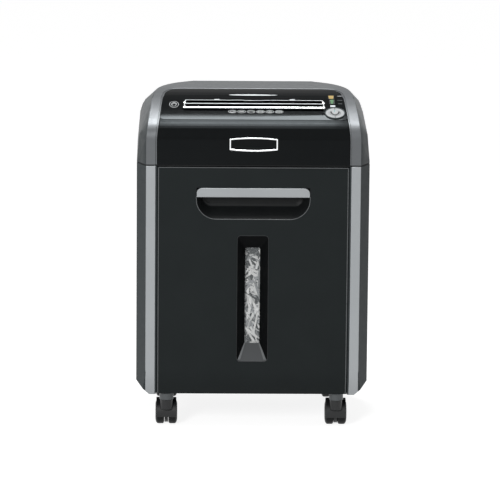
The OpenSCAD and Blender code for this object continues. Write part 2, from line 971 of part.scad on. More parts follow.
module cover_screw_shafts(r, x0) {
    for (place = cover_screws)
        rod_x(x0, half_frame + frame_t + ear_t, place[0], place[1], r);
}

module gearbox_cover() {
    rim_x = half_frame + frame_t;
    color(nylon)
        difference() {
            union() {
                along_x(rim_x, cover_out)
                    gear_case(case_t);
                for (place = cover_screws)
                    rod_x(rim_x, rim_x + ear_t, place[0], place[1], ear_r);
            }
            along_x(rim_x - 1, cover_in)
                gear_case(0);
            cover_screw_shafts(screw_r + eps, rim_x - 1);
            rod_x(cover_in - 1, cover_out + 1, mid_y, mid_z, mid_r + run_gap);
            rod_x(cover_in - 1, cover_out + 1, motor_y, motor_z, rotor_r + run_gap);
        }
}

module screw_x(x0, x1, y, z) {
    rod_x(x0, x1, y, z, screw_r);
    rod_x(x1, x1 + head_t, y, z, head_r);
}

base_screw_in = [17.5, 60];
base_screw_x = half - base_screw_in[0];
base_screws = [
    for (x = [-base_screw_x, base_screw_x], y = [front + base_screw_in[1], back - base_screw_in[1]]) [x, y],
];

module head_screws() {
    color(metal) {
        for (place = cover_screws)
            screw_x(half_frame, half_frame + frame_t + ear_t, place[0], place[1]);
        for (a = motor_screw_angles)
            screw_x(half_frame - 4, half_frame + frame_t,
                    motor_y + (motor_r - 9) * cos(a), motor_z + (motor_r - 9) * sin(a));
        for (place = base_screws)
            translate([place[0], place[1], 0]) {
                translate([0, 0, seam_z - ledge_t])
                    cylinder(h = ledge_t + flange_t, r = screw_r);
                translate([0, 0, seam_z + flange_t])
                    cylinder(h = head_t, r = head_r);
            }
    }
}

// ---- Head base and electrics --------------------------------------------------

flange_t = seam_gap;
tray_sink = 25;
tray_foot = seam_z - tray_sink;
tray_inset = [14, 18];
tray_front = front + tray_inset[0];
tray_back = back - tray_inset[1];
ledge_t = 9;

module head_base() {
    tray_t = 3;
    drop = [half_frame - 6, front_y - disc_r - 1, rear_y + disc_r + 1];
    color(dark)
        difference() {
            union() {
                translate([0, 0, seam_z])
                    linear_extrude(flange_t)
                        polygon(plan(1.5));
                translate([-tray_half, tray_front, tray_foot])
                    cube([2 * tray_half, tray_back - tray_front, seam_z - tray_foot + 0.5]);
            }
            translate([-tray_half + tray_t, tray_front + tray_t, tray_foot + tray_t])
                cube([2 * (tray_half - tray_t), tray_back - tray_front - 2 * tray_t, 60]);
            translate([-drop[0], drop[1], tray_foot - 1])
                cube([2 * drop[0], drop[2] - drop[1], 10]);
            base_screw_holes(seam_z - 1, flange_t + 2);
        }
    color(dark)
        for (x = [board_edge, board[0] - board_edge], y = [board_edge, board[1] - board_edge])
            translate([board_at[0] + x, board_at[1] + y, tray_foot + tray_t])
                cylinder(h = board_z - tray_foot - tray_t, r = 3, $fn = 24);
}

module base_screw_holes(z0, h) {
    for (place = base_screws)
        translate([place[0], place[1], z0])
            cylinder(h = h, r = screw_r + eps);
}

board_z = seam_z - 12;
board = [66, 72, 1.6];
board_edge = 6;
board_gap = [13, 10.5];
board_at = [board_gap[0] - tray_half, tray_back - board_gap[1] - board[1]];

// Parts on the board as [place, size]
relay = [[6, 18, 0], [22, 20, 16]];
terminals = [[40, 16, 0], [16, 10, 12]];
capacitor_at = [40, 44, 0];
capacitor_r = 9;
capacitor_h = 26;

module control_board() {
    color("#2f6b45")
        translate([board_at[0], board_at[1], board_z])
            cube(board);
    color(black)
        translate([board_at[0], board_at[1], board_z + board[2]]) {
            for (item = [relay, terminals])
                translate(item[0])
                    cube(item[1]);
            translate(capacitor_at)
                cylinder(h = capacitor_h, r = capacitor_r);
        }
}

gland_r = 9;

module cord_gland() {
    color(black)
        translate([gland_x, back, service_z])
            rotate([90, 0, 0])
                difference() {
                    union() {
                        cylinder(h = 14, r = gland_r);
                        translate([0, 0, wall])
                            cylinder(h = 3, r = gland_r + 3);
                    }
                    translate([0, 0, -1])
                        cylinder(h = 16, r = gland_bore);
                }
}

pivot_in = 7;
pin_r = 1.5;

module switch_housing() {
    inner = [18.8, 27.4];
    depth = 16;
    rim = 2;
    color(black)
        difference() {
            union() {
                translate([rocker_x - rocker_frame[0] / 2, back - depth, service_z - rocker_frame[1] / 2])
                    cube([rocker_frame[0], depth, rocker_frame[1]]);
                translate([
                    rocker_x - rocker_frame[0] / 2 - rim, back - wall - rim,
                    service_z - rocker_frame[1] / 2 - rim,
                ])
                    cube([rocker_frame[0] + 2 * rim, rim, rocker_frame[1] + 2 * rim]);
            }
            translate([rocker_x - inner[0] / 2, back - depth + 2, service_z - inner[1] / 2])
                cube([inner[0], depth, inner[1]]);
            rod_x(rocker_x - inner[0] / 2 - 2, rocker_x + inner[0] / 2 + 2,
                  back - pivot_in, service_z, pin_r + run_gap);
        }
}

module rocker_switch() {
    half_w = 9;
    color("#5a1f1c") {
        translate([rocker_x - half_w, back - pivot_in, service_z])
            rotate([90, 0, 90])
                linear_extrude(2 * half_w)
                    rotate([0, 0, -rocker_tilt])
                        polygon([[-3, -8], [-3, 8], [4.2, 12.2], [5.2, 0], [4.2, -12.2]]);
        rod_x(rocker_x - half_w - 1.8, rocker_x + half_w + 1.8, back - pivot_in, service_z, pin_r);
    }
}

// ---- Cabinet ------------------------------------------------------------------

cheek_end = half - rear_r + 0.5;

// Front view of half the cabinet with its slanted foot, drawn in by inset
foot_slope = atan2(foot_cut_h, foot_cut_w);
function foot_half(inset, low, top) =
    let (edge = half - foot_cut_w - inset / sin(foot_slope), rise = tan(foot_slope))
    [[0, low], [edge + (low - under_z) / rise, low],
     [half - inset, under_z + (half - inset - edge) * rise], [half - inset, top], [0, top]];

jamb_t = 3;
seat_t = 2;
jamb_d = 10;
jamb_in = bin_half + 0.4;

module right_cheek_solid() {
    difference() {
        intersection() {
            translate([0, 0, under_z])
                linear_extrude(seam_z - under_z)
                    polygon(plan(0));
            upright(front - 1, body_d + 2)
                polygon(foot_half(0, under_z, seam_z));
            behind_front(0);
        }
        intersection() {
            translate([0, 0, under_z - 2])
                linear_extrude(seam_z - under_z + 4)
                    polygon(plan(wall));
            upright(front - 1, body_d + 2)
                polygon(foot_half(wall, under_z - 1, seam_z + 1));
            behind_front(wall + seat_t);
        }
        difference() {
            translate([-1, front - 1, under_z - 1])
                cube([strip_out + 1, body_d, seam_z]);
            behind_front(wall);
        }
        translate([-1, front - 1, under_z - 1])
            cube([jamb_in + 1, body_d / 2, seam_z]);
        translate([-1, front - 1, under_z - 1])
            cube([cheek_end + 1, body_d + 2, seam_z]);
    }
    front_plate(jamb_in, strip_in, groove_depth, jamb_d, under_z, seam_z);
    front_plate(strip_in - 1, strip_in + jamb_t, wall + seat_t / 2, jamb_d, under_z, seam_z);
}

module right_cheek() {
    color(dark) right_cheek_solid();
}

module left_cheek() {
    color(dark) mirror([1, 0, 0]) right_cheek_solid();
}

module strip_solid() {
    intersection() {
        front_plate(strip_in, strip_out, 0, wall, under_z, seam_z);
        upright(front - 1, body_d)
            polygon(foot_half(0, under_z, seam_z));
    }
}

module right_strip() {
    color(light) strip_solid();
}

module left_strip() {
    color(light) mirror([1, 0, 0]) strip_solid();
}

rib_places = [-90, -30, 30, 90];
runner_x = 120;
runner_w = 8;

module back_panel() {
    rib_w = 4;
    color(dark) {
        translate([-cheek_end, back - wall, under_z])
            cube([2 * cheek_end, wall, seam_z - under_z]);
        for (x = rib_places)
            translate([x - rib_w / 2, back - 2 * wall, under_z + 10])
                cube([rib_w, wall, seam_z - under_z - 30]);
    }
}

tray_z = 4;
tray_in = front + wall + turn_in + jamb_d + 1;
rib_top = under_z + tray_z + 3.7;
tub_z0 = rib_top + 0.3;
caster_places = [
    [-caster_x, front + caster_front], [caster_x, front + caster_front],
    [-caster_x, back - caster_rear], [caster_x, back - caster_rear],
];

module base_tray() {
    color(dark)
        difference() {
            union() {
                intersection() {
                    translate([0, 0, under_z])
                        linear_extrude(tray_z)
                            polygon(plan(wall));
                    translate([-half, tray_in, under_z - 1])
                        cube([body_w, body_d, tray_z + 2]);
                    upright(front, body_d)
                        polygon(mirrored(foot_half(wall + fit, under_z - 1, seam_z)));
                }
                for (side = [-1, 1])
                    translate([side * runner_x - runner_w / 2, tray_in, under_z])
                        cube([runner_w, body_d - 50, rib_top - under_z]);
                for (place = caster_places)
                    translate([place[0], place[1], under_z])
                        cylinder(h = 7, r = stem_r + 5);
            }
            for (place = caster_places)
                translate([place[0], place[1], under_z - 1])
                    cylinder(h = 6, r = stem_r + run_gap);
        }
}

module top_frame() {
    color(dark)
        difference() {
            translate([0, 0, seam_z - ledge_t])
                linear_extrude(ledge_t)
                    polygon(plan(wall));
            translate([-tray_half - fit, front - 1, seam_z - ledge_t - 1])
                cube([2 * (tray_half + fit), tray_back + fit - front + 1, ledge_t + 2]);
            translate([-half, front - 1, seam_z - ledge_t - 1])
                cube([body_w, 21, ledge_t + 2]);
            base_screw_holes(seam_z - ledge_t - 1, ledge_t + 2);
            interlock_pocket();
        }
}

lock_in = [19.5, 34];
lock_size = [12, 20];
lock_at = [lock_in[0] - half, front + lock_in[1]];

module interlock_pocket() {
    translate([lock_at[0] - lock_size[0] / 2, lock_at[1], seam_z - ledge_t - 1])
        cube([lock_size[0], lock_size[1], ledge_t]);
}

module interlock_switch() {
    color("#b5453a")
        translate([lock_at[0] - lock_size[0] / 2 + fit, lock_at[1] + fit, seam_z - ledge_t - 8])
            cube([lock_size[0] - 2 * fit, lock_size[1] - 2 * fit, ledge_t + 6]);
    color(metal)
        translate([lock_at[0] - 2, lock_at[1] - 6, seam_z - ledge_t - 5])
            cube([4, 6 + fit, 1]);
}

// ---- Bin ------------------------------------------------------------------------

panel_t = 3;
panel_y = front + bin_inset;
panel_half = bin_half;
panel_top = seam_z - 2;
panel_foot = under_z + 1;

module pocket_outline(grow) {
    w = grip_w + 1.4 + 2 * grow;
    r = pocket_r + grow;
    top = grip_z + grip_h + grow;
    foot = grip_z - pocket_h - grow;
    polygon(concat(
        [[w / 2, top], [-w / 2, top]],
        arc(-w / 2 + r, foot + r, r, r, 180, 270, 10),
        arc(w / 2 - r, foot + r, r, r, 270, 360, 10)
    ));
}

module recess_outline(grow) {
    translate([0, recess_z + recess_h / 2])
        polygon(round_rect(recess_w + 2 * grow, recess_h + 2 * grow, 6 + grow, 6));
}

module bin_front() {
    color(black)
        difference() {
            front_plate(-panel_half, panel_half, bin_inset, panel_t, panel_foot, panel_top);
            upright(front, 3 * panel_t)
                pocket_outline(eps);
            upright(front, 3 * panel_t)
                recess_outline(eps);
        }
}

tub_t = 2;
tub_y = panel_y + panel_t;
tub_back = back - 20;
step_y = tub_y + turn_in + 1;

module bin_tub() {
    front_top = grip_z - pocket_h - 12;
    color(black) {
        difference() {
            translate([-tub_half, tub_y, tub_z0])
                cube([2 * tub_half, tub_back - tub_y, tub_z - tub_z0]);
            translate([-tub_half + tub_t, tub_y + tub_t, tub_z0 + tub_t])
                cube([2 * (tub_half - tub_t), tub_back - tub_y - 2 * tub_t, tub_z]);
            translate([-tub_half + tub_t, tub_y - 1, front_top])
                cube([2 * (tub_half - tub_t), tub_t + 2, tub_z]);
            translate([-tub_half - 1, tub_y - 1, tub_z0 - 1])
                cube([2 * tub_half + 2, step_y - tub_y + 1, turn_z - tub_z0 + 1]);
            upright(tub_y - 1, tub_t + 2)
                recess_outline(0.5);
            upright(tub_y - 1, pocket_d + tub_t + 4)
                pocket_outline(2);
        }
        translate([-tub_half, step_y, tub_z0])
            cube([2 * tub_half, tub_t, turn_z - tub_z0]);
        difference() {
            translate([-tub_half, tub_y, turn_z])
                cube([2 * tub_half, step_y + tub_t - tub_y, tub_t]);
            upright(tub_y - 1, recess_d)
                recess_outline(0.5);
        }
    }
}

module bin_grip() {
    lip_t = 4;
    top_t = 3;
    w = grip_w;
    r = 9;
    color(light)
        difference() {
            upright(front, lip_t + 6)
                polygon(concat(
                    [[-w / 2, grip_z], [w / 2, grip_z]],
                    arc(w / 2 - r, grip_z + grip_h - r, r, r, 0, 90, 8),
                    arc(-w / 2 + r, grip_z + grip_h - r, r, r, 90, 180, 8)
                ));
            translate([-w / 2 - 1, front + lip_t, grip_z - 1])
                cube([w + 2, 8, grip_h - top_t]);
        }
}

// Amounts by which the back of the pocket is narrower, and its foot below the grip
pocket_draw = [22, 15];
pocket_back_r = 9;

// Body of the pocket between its mouth and its smaller back, as one convex form
module pocket_form(grow, y0, depth) {
    back_w = grip_w - pocket_draw[0] + 2 * grow;
    back_foot = grip_z - pocket_draw[1] - grow;
    back_top = grip_z + grip_h + grow;
    hull() {
        upright(y0, 0.1)
            pocket_outline(grow);
        upright(y0 + depth - 0.1, 0.1)
            translate([0, (back_foot + back_top) / 2])
                polygon(round_rect(back_w, back_top - back_foot, pocket_back_r, 8));
    }
}

module handle_pocket() {
    pocket_t = 1.6;
    color(black)
        difference() {
            pocket_form(0, panel_y, pocket_d + pocket_t);
            pocket_form(-pocket_t, panel_y - 0.1, pocket_d + 0.1);
            grip_space();
        }
}

module grip_space() {
    translate([-grip_w / 2 - 0.4, front - 1, grip_z - 0.3])
        cube([grip_w + 0.8, 13.5, grip_h + 4]);
}

pane_r = 3;
pane_t = 1.5;
pane_lap = 4;

// Opening of the window, or the pane that laps over its edges
module pane_outline(grow, r) {
    translate([0, pane_z + pane_h / 2])
        polygon(round_rect(pane_w + 2 * grow, pane_h + 2 * grow, r, 6));
}

module window_bezel() {
    color(black)
        difference() {
            upright(panel_y, recess_d)
                recess_outline(0);
            hull() {
                upright(panel_y - 0.1, 0.1)
                    recess_outline(-1.2);
                upright(panel_y + recess_d - 3.1, 0.1)
                    pane_outline(0, pane_r);
            }
            upright(panel_y + recess_d - 4, 5)
                pane_outline(0, pane_r);
            upright(panel_y + recess_d - pane_t, 2)
                pane_outline(pane_lap, pane_r + 1);
        }
}

module window_pane() {
    color("#cfd6da", 0.4)
        upright(panel_y + recess_d - pane_t, pane_t)
            pane_outline(pane_lap - eps, pane_r + 1);
}

// Heap of shreds, drawn in by inset
module heap(inset) {
    shred_front = step_y + tub_t + 0.3 + inset;
    shred_back = tub_back - tub_t - 0.5 - inset;
    side = tub_half - tub_t - 0.5 - inset;
    foot_z = tub_z0 + tub_t + inset;
    rim = 26;
    upright(shred_front, shred_back - shred_front)
        polygon(concat(
            [[-side, foot_z], [side, foot_z], [side, fill_z - rim - inset]],
            arc(0, fill_z - rim - inset, side, rim, 0, 180, 16)
        ));
}

module paper_shreds() {
    color("#f2f2ee")
        difference() {
            heap(0);
            heap(heap_crust);
        }
}

// ---- Casters ----------------------------------------------------------------------

socket_h = 12;

module caster_sockets() {
    color(steel)
        for (place = caster_places)
            translate([place[0], place[1], under_z - socket_h])
                difference() {
                    cylinder(h = socket_h, r = socket_r);
                    translate([0, 0, -1])
                        cylinder(h = socket_h + 2, r = stem_r + run_gap);
                }
}

hood_gap = 1;
hood_t = 2;
axle_r = 2.5;
wheel_w = (wheel_span - 10) / 2;

// Swivelling hood with its stem; the axle lies trail behind the stem
module caster_fork(place) {
    hood_r = wheel_r + hood_gap + hood_t;
    hood_half = wheel_span / 2 - 1.5;
    web_t = 6;
    neck_z = under_z - socket_h - 0.4;
    color(black)
        translate([place[0], place[1], 0]) {
            difference() {
                union() {
                    rod_x(-hood_half, hood_half, trail, wheel_r, hood_r);
                    translate([0, 0, wheel_r + 10])
                        cylinder(h = neck_z - wheel_r - 10, r = socket_r - 1.5);
                    translate([0, 0, neck_z - 1])
                        cylinder(h = socket_h + 4, r = stem_r);
                }
                for (side = [-1, 1])
                    rod_x(side > 0 ? web_t / 2 : -hood_half - 1, side > 0 ? hood_half + 1 : -web_t / 2,
                          trail, wheel_r, wheel_r + hood_gap);
                translate([-hood_half - 1, trail - hood_r - 1, -hood_r])
                    cube([2 * hood_half + 2, 2 * hood_r + 2, wheel_r + hood_r - 5]);
                rod_x(-web_t, web_t, trail, wheel_r, axle_r + run_gap);
            }
            difference() {
                rod_x(-web_t / 2, web_t / 2, trail, wheel_r, wheel_r - 2.5);
                rod_x(-web_t, web_t, trail, wheel_r, axle_r + run_gap);
            }
        }
}

// Twin wheels with their axle; the outer faces are domed
module caster_wheels(place) {
    inner_x = 3.6;
    outer_x = wheel_span / 2;
    rim_x = outer_x - 5;
    color("#1d1f20")
        translate([place[0], place[1] + trail, wheel_r]) {
            rod_x(-outer_x + 1, outer_x - 1, 0, 0, axle_r);
            for (side = [-1, 1])
                rotate([0, side * 90, 0])
                    rotate_extrude($fn = 64)
                        polygon(concat(
                            [[0, inner_x]],
                            arc(wheel_r - 4, inner_x + 3, 4, 3, -90, 0, 4),
                            [[wheel_r, rim_x]],
                            arc(wheel_r - 9, rim_x, 9, 5, 0, 90, 8),
                            [[0, outer_x]]
                        ));
        }
}

module front_left_fork() {
    caster_fork(caster_places[0]);
}

module front_right_fork() {
    caster_fork(caster_places[1]);
}

module rear_left_fork() {
    caster_fork(caster_places[2]);
}

module rear_right_fork() {
    caster_fork(caster_places[3]);
}

module front_left_wheels() {
    caster_wheels(caster_places[0]);
}

module front_right_wheels() {
    caster_wheels(caster_places[1]);
}

module rear_left_wheels() {
    caster_wheels(caster_places[2]);
}

module rear_right_wheels() {
    caster_wheels(caster_places[3]);
}

head_shell();
head_band();
head_fascia();
control_deck();
throat_bezel();
card_slot_trim();
key_ring();
control_key();
reverse_key();
forward_key();
amber_lens();
green_lens();
white_lens();
name_plate();
throat_guides();
head_base();
left_side_frame();
right_side_frame();
front_cutter();
rear_cutter();
cutter_bushes();
tie_rods();
stripper_combs();
front_sync_gear();
rear_sync_gear();
drive_gear();
intermediate_gear();
gearbox_cover();
motor_body();
motor_rotor();
control_board();
cord_gland();
switch_housing();
rocker_switch();
head_screws();
left_cheek();
right_cheek();
left_strip();
right_strip();
back_panel();
base_tray();
top_frame();
interlock_switch();
bin_front();
bin_tub();
bin_grip();
handle_pocket();
window_bezel();
window_pane();
paper_shreds();
caster_sockets();
front_left_fork();
front_right_fork();
rear_left_fork();
rear_right_fork();
front_left_wheels();
front_right_wheels();
rear_left_wheels();
rear_right_wheels();
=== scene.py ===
"""Looks of a deskside paper shredder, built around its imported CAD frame."""

import json
import math
import random

import bmesh
import bpy
from mathutils import Matrix, Vector

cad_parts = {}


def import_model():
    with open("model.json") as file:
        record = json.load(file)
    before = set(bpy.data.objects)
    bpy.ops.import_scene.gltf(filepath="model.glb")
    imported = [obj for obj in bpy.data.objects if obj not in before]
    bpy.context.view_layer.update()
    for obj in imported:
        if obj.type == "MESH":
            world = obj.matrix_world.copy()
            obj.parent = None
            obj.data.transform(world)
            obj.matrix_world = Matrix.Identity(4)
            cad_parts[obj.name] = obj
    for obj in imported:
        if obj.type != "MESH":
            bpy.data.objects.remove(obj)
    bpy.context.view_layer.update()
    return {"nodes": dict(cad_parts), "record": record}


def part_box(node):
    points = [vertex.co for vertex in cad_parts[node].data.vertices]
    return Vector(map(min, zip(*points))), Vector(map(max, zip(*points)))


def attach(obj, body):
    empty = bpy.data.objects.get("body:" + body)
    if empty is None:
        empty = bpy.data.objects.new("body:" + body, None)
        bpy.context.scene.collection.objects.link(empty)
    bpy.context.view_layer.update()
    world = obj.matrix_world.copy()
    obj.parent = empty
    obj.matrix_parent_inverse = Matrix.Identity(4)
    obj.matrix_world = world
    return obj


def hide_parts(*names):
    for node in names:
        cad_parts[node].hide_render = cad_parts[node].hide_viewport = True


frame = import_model()
NODES = frame["nodes"]
BODY = {n: b for b, ns in frame["record"]["behaviour"]["bodies"].items() for n in ns}
SLOT = {s["node"]: s["material_slot"] for s in frame["record"]["subparts"]}
MM = 0.001
GRAIN_DEPTH = 0.06 * MM


# ---- Node materials ---------------------------------------------------------


def finish_of(name, colour, rough, **k):
    """A moulded or metal finish: clouded colour, varied roughness and a fine grain, all procedural.
    colour is linear RGB. k: metallic, specular, alpha; tint, how far the colour varies; span, how far the
    roughness does; cloud, the scale of both; grain and bump, scale and strength of the fine relief; stretch, scale
    of all of it per axis; edge, how bright a metal is towards its edges."""
    m = bpy.data.materials.new(name)
    m.use_nodes = True
    nt = m.node_tree
    b = nt.nodes["Principled BSDF"]
    link = nt.links.new

    def node(kind, **values):
        n = nt.nodes.new(kind)
        for key, v in values.items():
            setattr(n, key, v)
        return n

    tc = node("ShaderNodeTexCoord")
    mp = node("ShaderNodeMapping")
    mp.inputs["Scale"].default_value = k.get("stretch", (1, 1, 1))
    link(tc.outputs["Object"], mp.inputs["Vector"])

    def noise(scale, detail=3.0):
        n = node("ShaderNodeTexNoise")
        n.inputs["Scale"].default_value = scale
        n.inputs["Detail"].default_value = detail
        link(mp.outputs["Vector"], n.inputs["Vector"])
        return n.outputs["Fac"]

    tint = k.get("tint", 0.08)
    mix = node("ShaderNodeMix", data_type="RGBA")
    mix.inputs["A"].default_value = (*[c * (1 - tint) for c in colour], 1)
    mix.inputs["B"].default_value = (*[min(1, c * (1 + tint)) for c in colour], 1)
    cloud = k.get("cloud", 16)
    link(noise(cloud), mix.inputs["Factor"])
    link(mix.outputs["Result"], b.inputs["Base Color"])

    span = k.get("span", 0.05)
    rr = node("ShaderNodeMapRange")
    rr.inputs["From Min"].default_value, rr.inputs["From Max"].default_value = 0.3, 0.7
    rr.inputs["To Min"].default_value = max(0.02, rough - span)
    rr.inputs["To Max"].default_value = min(1, rough + span)
    link(noise(cloud * 6.5, 5), rr.inputs["Value"])
    link(rr.outputs["Result"], b.inputs["Roughness"])

    bump = node("ShaderNodeBump")
    bump.inputs["Strength"].default_value = k.get("bump", 0.12)
    bump.inputs["Distance"].default_value = GRAIN_DEPTH
    link(noise(k.get("grain", 1900), 2), bump.inputs["Height"])
    link(bump.outputs["Normal"], b.inputs["Normal"])

    b.inputs["Metallic"].default_value = k.get("metallic", 0)
    b.inputs["Specular IOR Level"].default_value = k.get("specular", 0.5)
    b.inputs["Specular Tint"].default_value = (*[k.get("edge", 1)] * 3, 1)
    b.inputs["Alpha"].default_value = k.get("alpha", 1)
    return m


MAT = {
    "dark": finish_of("dark_plastic", (0.046, 0.054, 0.057), 0.42,
                      specular=0.10, bump=0.3, grain=2300, tint=0.05),
    "silver": finish_of("silver_plastic", (0.300, 0.315, 0.325), 0.42,
                        metallic=0.9, specular=0.3, edge=0.5, bump=0.14, grain=2600, tint=0.04),
    # The head's band is the strips' silver again, made darker: painted shade, as the band takes less light than the
    # strips.
    "band": finish_of("silver_band_painted_shade", (0.125, 0.132, 0.138), 0.34,
                      specular=0.3, metallic=0.75, edge=0.46, bump=0.12, grain=2600, tint=0.04),
    "gloss": finish_of("black_gloss", (0.0090, 0.0100, 0.0105), 0.15,
                       metallic=1, edge=0.48, bump=0.02, grain=900, tint=0.05),
    "deck": finish_of("black_deck", (0.0170, 0.0185, 0.0193), 0.10,
                      metallic=1, edge=0.50, bump=0.01, grain=700, tint=0.15, span=0.01),
    "panel": finish_of("black_panel", (0.0170, 0.0205, 0.0212), 0.40,
                       specular=0.06, bump=0.10, grain=2400, tint=0.12),
    "black": finish_of("black_plastic", (0.0070, 0.0080, 0.0085), 0.48,
                       specular=0.15, bump=0.3, grain=2300, tint=0.12),
    "bright": finish_of("bright_trim", (0.86, 0.88, 0.89), 0.18,
                        metallic=1, bump=0.05, grain=1500, tint=0.05),
    "satin": finish_of("satin_trim", (0.40, 0.415, 0.425), 0.35,
                       metallic=0.9, edge=0.5, bump=0.1, grain=2500, tint=0.05),
    "key": finish_of("key_silver", (0.245, 0.255, 0.262), 0.5,
                     specular=0.18, bump=0.1, grain=2500, tint=0.05),
    # Lighter grey for thin lines and ribs on edges: painted highlight where the edges catch the light.
    "line": finish_of("painted_edge_highlight", (0.115, 0.122, 0.126), 0.35,
                      metallic=0.3, specular=0.3, bump=0.1, grain=2500, tint=0.05),
    "amber": finish_of("amber_light", (0.28, 0.20, 0.065), 0.25,
                       specular=0.1, bump=0.2, grain=1400),
    "green": finish_of("green_light", (0.070, 0.150, 0.075), 0.25,
                       specular=0.1, bump=0.2, grain=1400),
    "white": finish_of("white_light", (0.42, 0.44, 0.46), 0.3, specular=0.1, bump=0.2, grain=1400),
    "teal": finish_of("teal_light", (0.14, 0.26, 0.27), 0.25, specular=0.4, bump=0.2, grain=1400),
    "cutter": finish_of("cutter_steel", (0.36, 0.37, 0.38), 0.3,
                        metallic=1, bump=0.25, grain=900, tint=0.18, stretch=(0.2, 1, 1)),
    "steel": finish_of("frame_steel", (0.42, 0.43, 0.44), 0.38,
                       metallic=0.9, bump=0.15, grain=800, tint=0.14, stretch=(1, 1, 0.15)),
    "bronze": finish_of("bush_bronze", (0.46, 0.27, 0.11), 0.36,
                        metallic=1, bump=0.2, grain=1500, tint=0.15),
    "nylon": finish_of("gear_nylon", (0.72, 0.68, 0.56), 0.42,
                       specular=0.4, bump=0.15, grain=1300, tint=0.05),
    "board": finish_of("circuit", (0.012, 0.115, 0.045), 0.34,
                       specular=0.5, bump=0.5, grain=420, tint=0.35, cloud=130),
    "red": finish_of("switch_red", (0.46, 0.035, 0.03), 0.35, specular=0.45, bump=0.15, tint=0.06),
    "lock": finish_of("lock_plastic", (0.40, 0.06, 0.045), 0.4, specular=0.4, bump=0.2, tint=0.08),
    "socket": finish_of("socket_grey", (0.085, 0.092, 0.096), 0.4,
                        metallic=0.3, specular=0.4, bump=0.15, tint=0.08),
    "wheel": finish_of("wheel_black", (0.0060, 0.0065, 0.0068), 0.5,
                       specular=0.15, bump=0.25, grain=1700, tint=0.15),
    "hood": finish_of("caster_hood", (0.0120, 0.0128, 0.0135), 0.34,
                      specular=0.35, bump=0.1, grain=1700, tint=0.12),
    "print": finish_of("printed_grey", (0.30, 0.31, 0.315), 0.45,
                       specular=0.1, bump=0.1, grain=3000, tint=0.06),
    # Faint grey: the faint print of the lamp marks, and a painted highlight round the window's mouth.
    "faint": finish_of("faint_print_and_painted_highlight", (0.045, 0.048, 0.05), 0.45,
                       specular=0.05, bump=0.1, grain=3000, tint=0.06),
    # Lighter grey for the up-facing slope at the foot of the window recess: painted light from above.
    "slope": finish_of("window_slope_painted_light", (0.070, 0.074, 0.077), 0.42,
                       specular=0.15, bump=0.2, grain=2300, tint=0.06),
    # Lighter grey for the back wall of the hand pocket: painted light where light falls in on it.
    "pocket_light": finish_of("pocket_painted_light", (0.085, 0.092, 0.096), 0.40,
                        specular=0.2, bump=0.2, grain=2300, tint=0.08),
    "paper": finish_of("shred_paper", (0.90, 0.90, 0.89), 0.72,
                       specular=0.1, bump=0.35, grain=900, tint=0.05, cloud=90),
    # The next two are the white paper again, darkened: painted shade for the shadow between and behind the strips.
    "shade": finish_of("shred_painted_shade", (0.36, 0.37, 0.38), 0.75,
                       specular=0.1, bump=0.35, grain=900, tint=0.10, cloud=90),
    "deep": finish_of("shred_painted_deep_shade", (0.060, 0.063, 0.066), 0.8,
                      specular=0.05, bump=0.35, grain=900, tint=0.15, cloud=90),
    "hollow": finish_of("window_black", (0.0028, 0.0032, 0.0035), 0.55,
                        specular=0.05, bump=0.2, grain=2300, tint=0.10),
    "clear": finish_of("window_clear", (0.60, 0.64, 0.65), 0.08,
                       specular=0.3, alpha=0.10, bump=0.03, grain=300, span=0.03, tint=0.02),
}


# ---- Pieces -----------------------------------------------------------------


def adopt(name, mesh, mat, body, replaces=(), slot=None):
    """Makes a piece of a mesh, gives it its finish and its body."""
    o = bpy.data.objects.new(name, mesh)
    bpy.context.scene.collection.objects.link(o)
    for m in mat if isinstance(mat, (list, tuple)) else [mat]:
        o.data.materials.append(MAT[m])
    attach(o, body)
    if replaces:
        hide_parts(*replaces)
        slot = slot or SLOT[replaces[0]]
    return o


def polish(o, width, angle):
    """Smooth shading up to an angle in degrees, with edges rounded over a width in millimetres."""
    o.data.shade_smooth()
    o.data.set_sharp_from_angle(angle=math.radians(angle))
    if width:
        b = o.modifiers.new("edges", "BEVEL")
        b.width = width * MM
        b.segments = 2
        b.limit_method = "ANGLE"
        b.angle_limit = math.radians(angle)
        b.use_clamp_overlap = False
        b.miter_outer = "MITER_ARC"
    w = o.modifiers.new("normals", "WEIGHTED_NORMAL")
    w.keep_sharp = True
    return o


WELD = 2e-6
FLAT = math.radians(0.3)
MANY_CORNERS = 24
DRESS_ANGLE = 28


def solid_copy(node):
    """The CAD node's mesh, welded, with its flat faces joined again.
    A face with many corners, such as one with vents in it, is split cleanly so that its edges can be rounded."""
    mesh = NODES[node].data.copy()
    mesh.materials.clear()
    for a in ("custom_normal", "sharp_edge", "sharp_face"):
        if a in mesh.attributes:
            mesh.attributes.remove(mesh.attributes[a])
    bm = bmesh.new()
    bm.from_mesh(mesh)
    bmesh.ops.remove_doubles(bm, verts=bm.verts, dist=WELD)
    bmesh.ops.dissolve_limit(bm, angle_limit=FLAT, verts=bm.verts, edges=bm.edges)
    bmesh.ops.triangulate(bm, faces=[f for f in bm.faces if len(f.verts) > MANY_CORNERS], ngon_method="BEAUTY")
    bm.to_mesh(mesh)
    bm.free()
    return mesh


def dress(node, mat, width):
    """A CAD node's own shape with rounded edges and a real finish."""
    polish(adopt(node + "_skin", solid_copy(node), mat, BODY[node], (node,)), width, DRESS_ANGLE)


def keep(node, mat):
    """A CAD node that stays as it is, with a better finish."""
    o = NODES[node]
    o.data.materials.clear()
    o.data.materials.append(MAT[mat])


# ---- Mesh helpers -----------------------------------------------------------


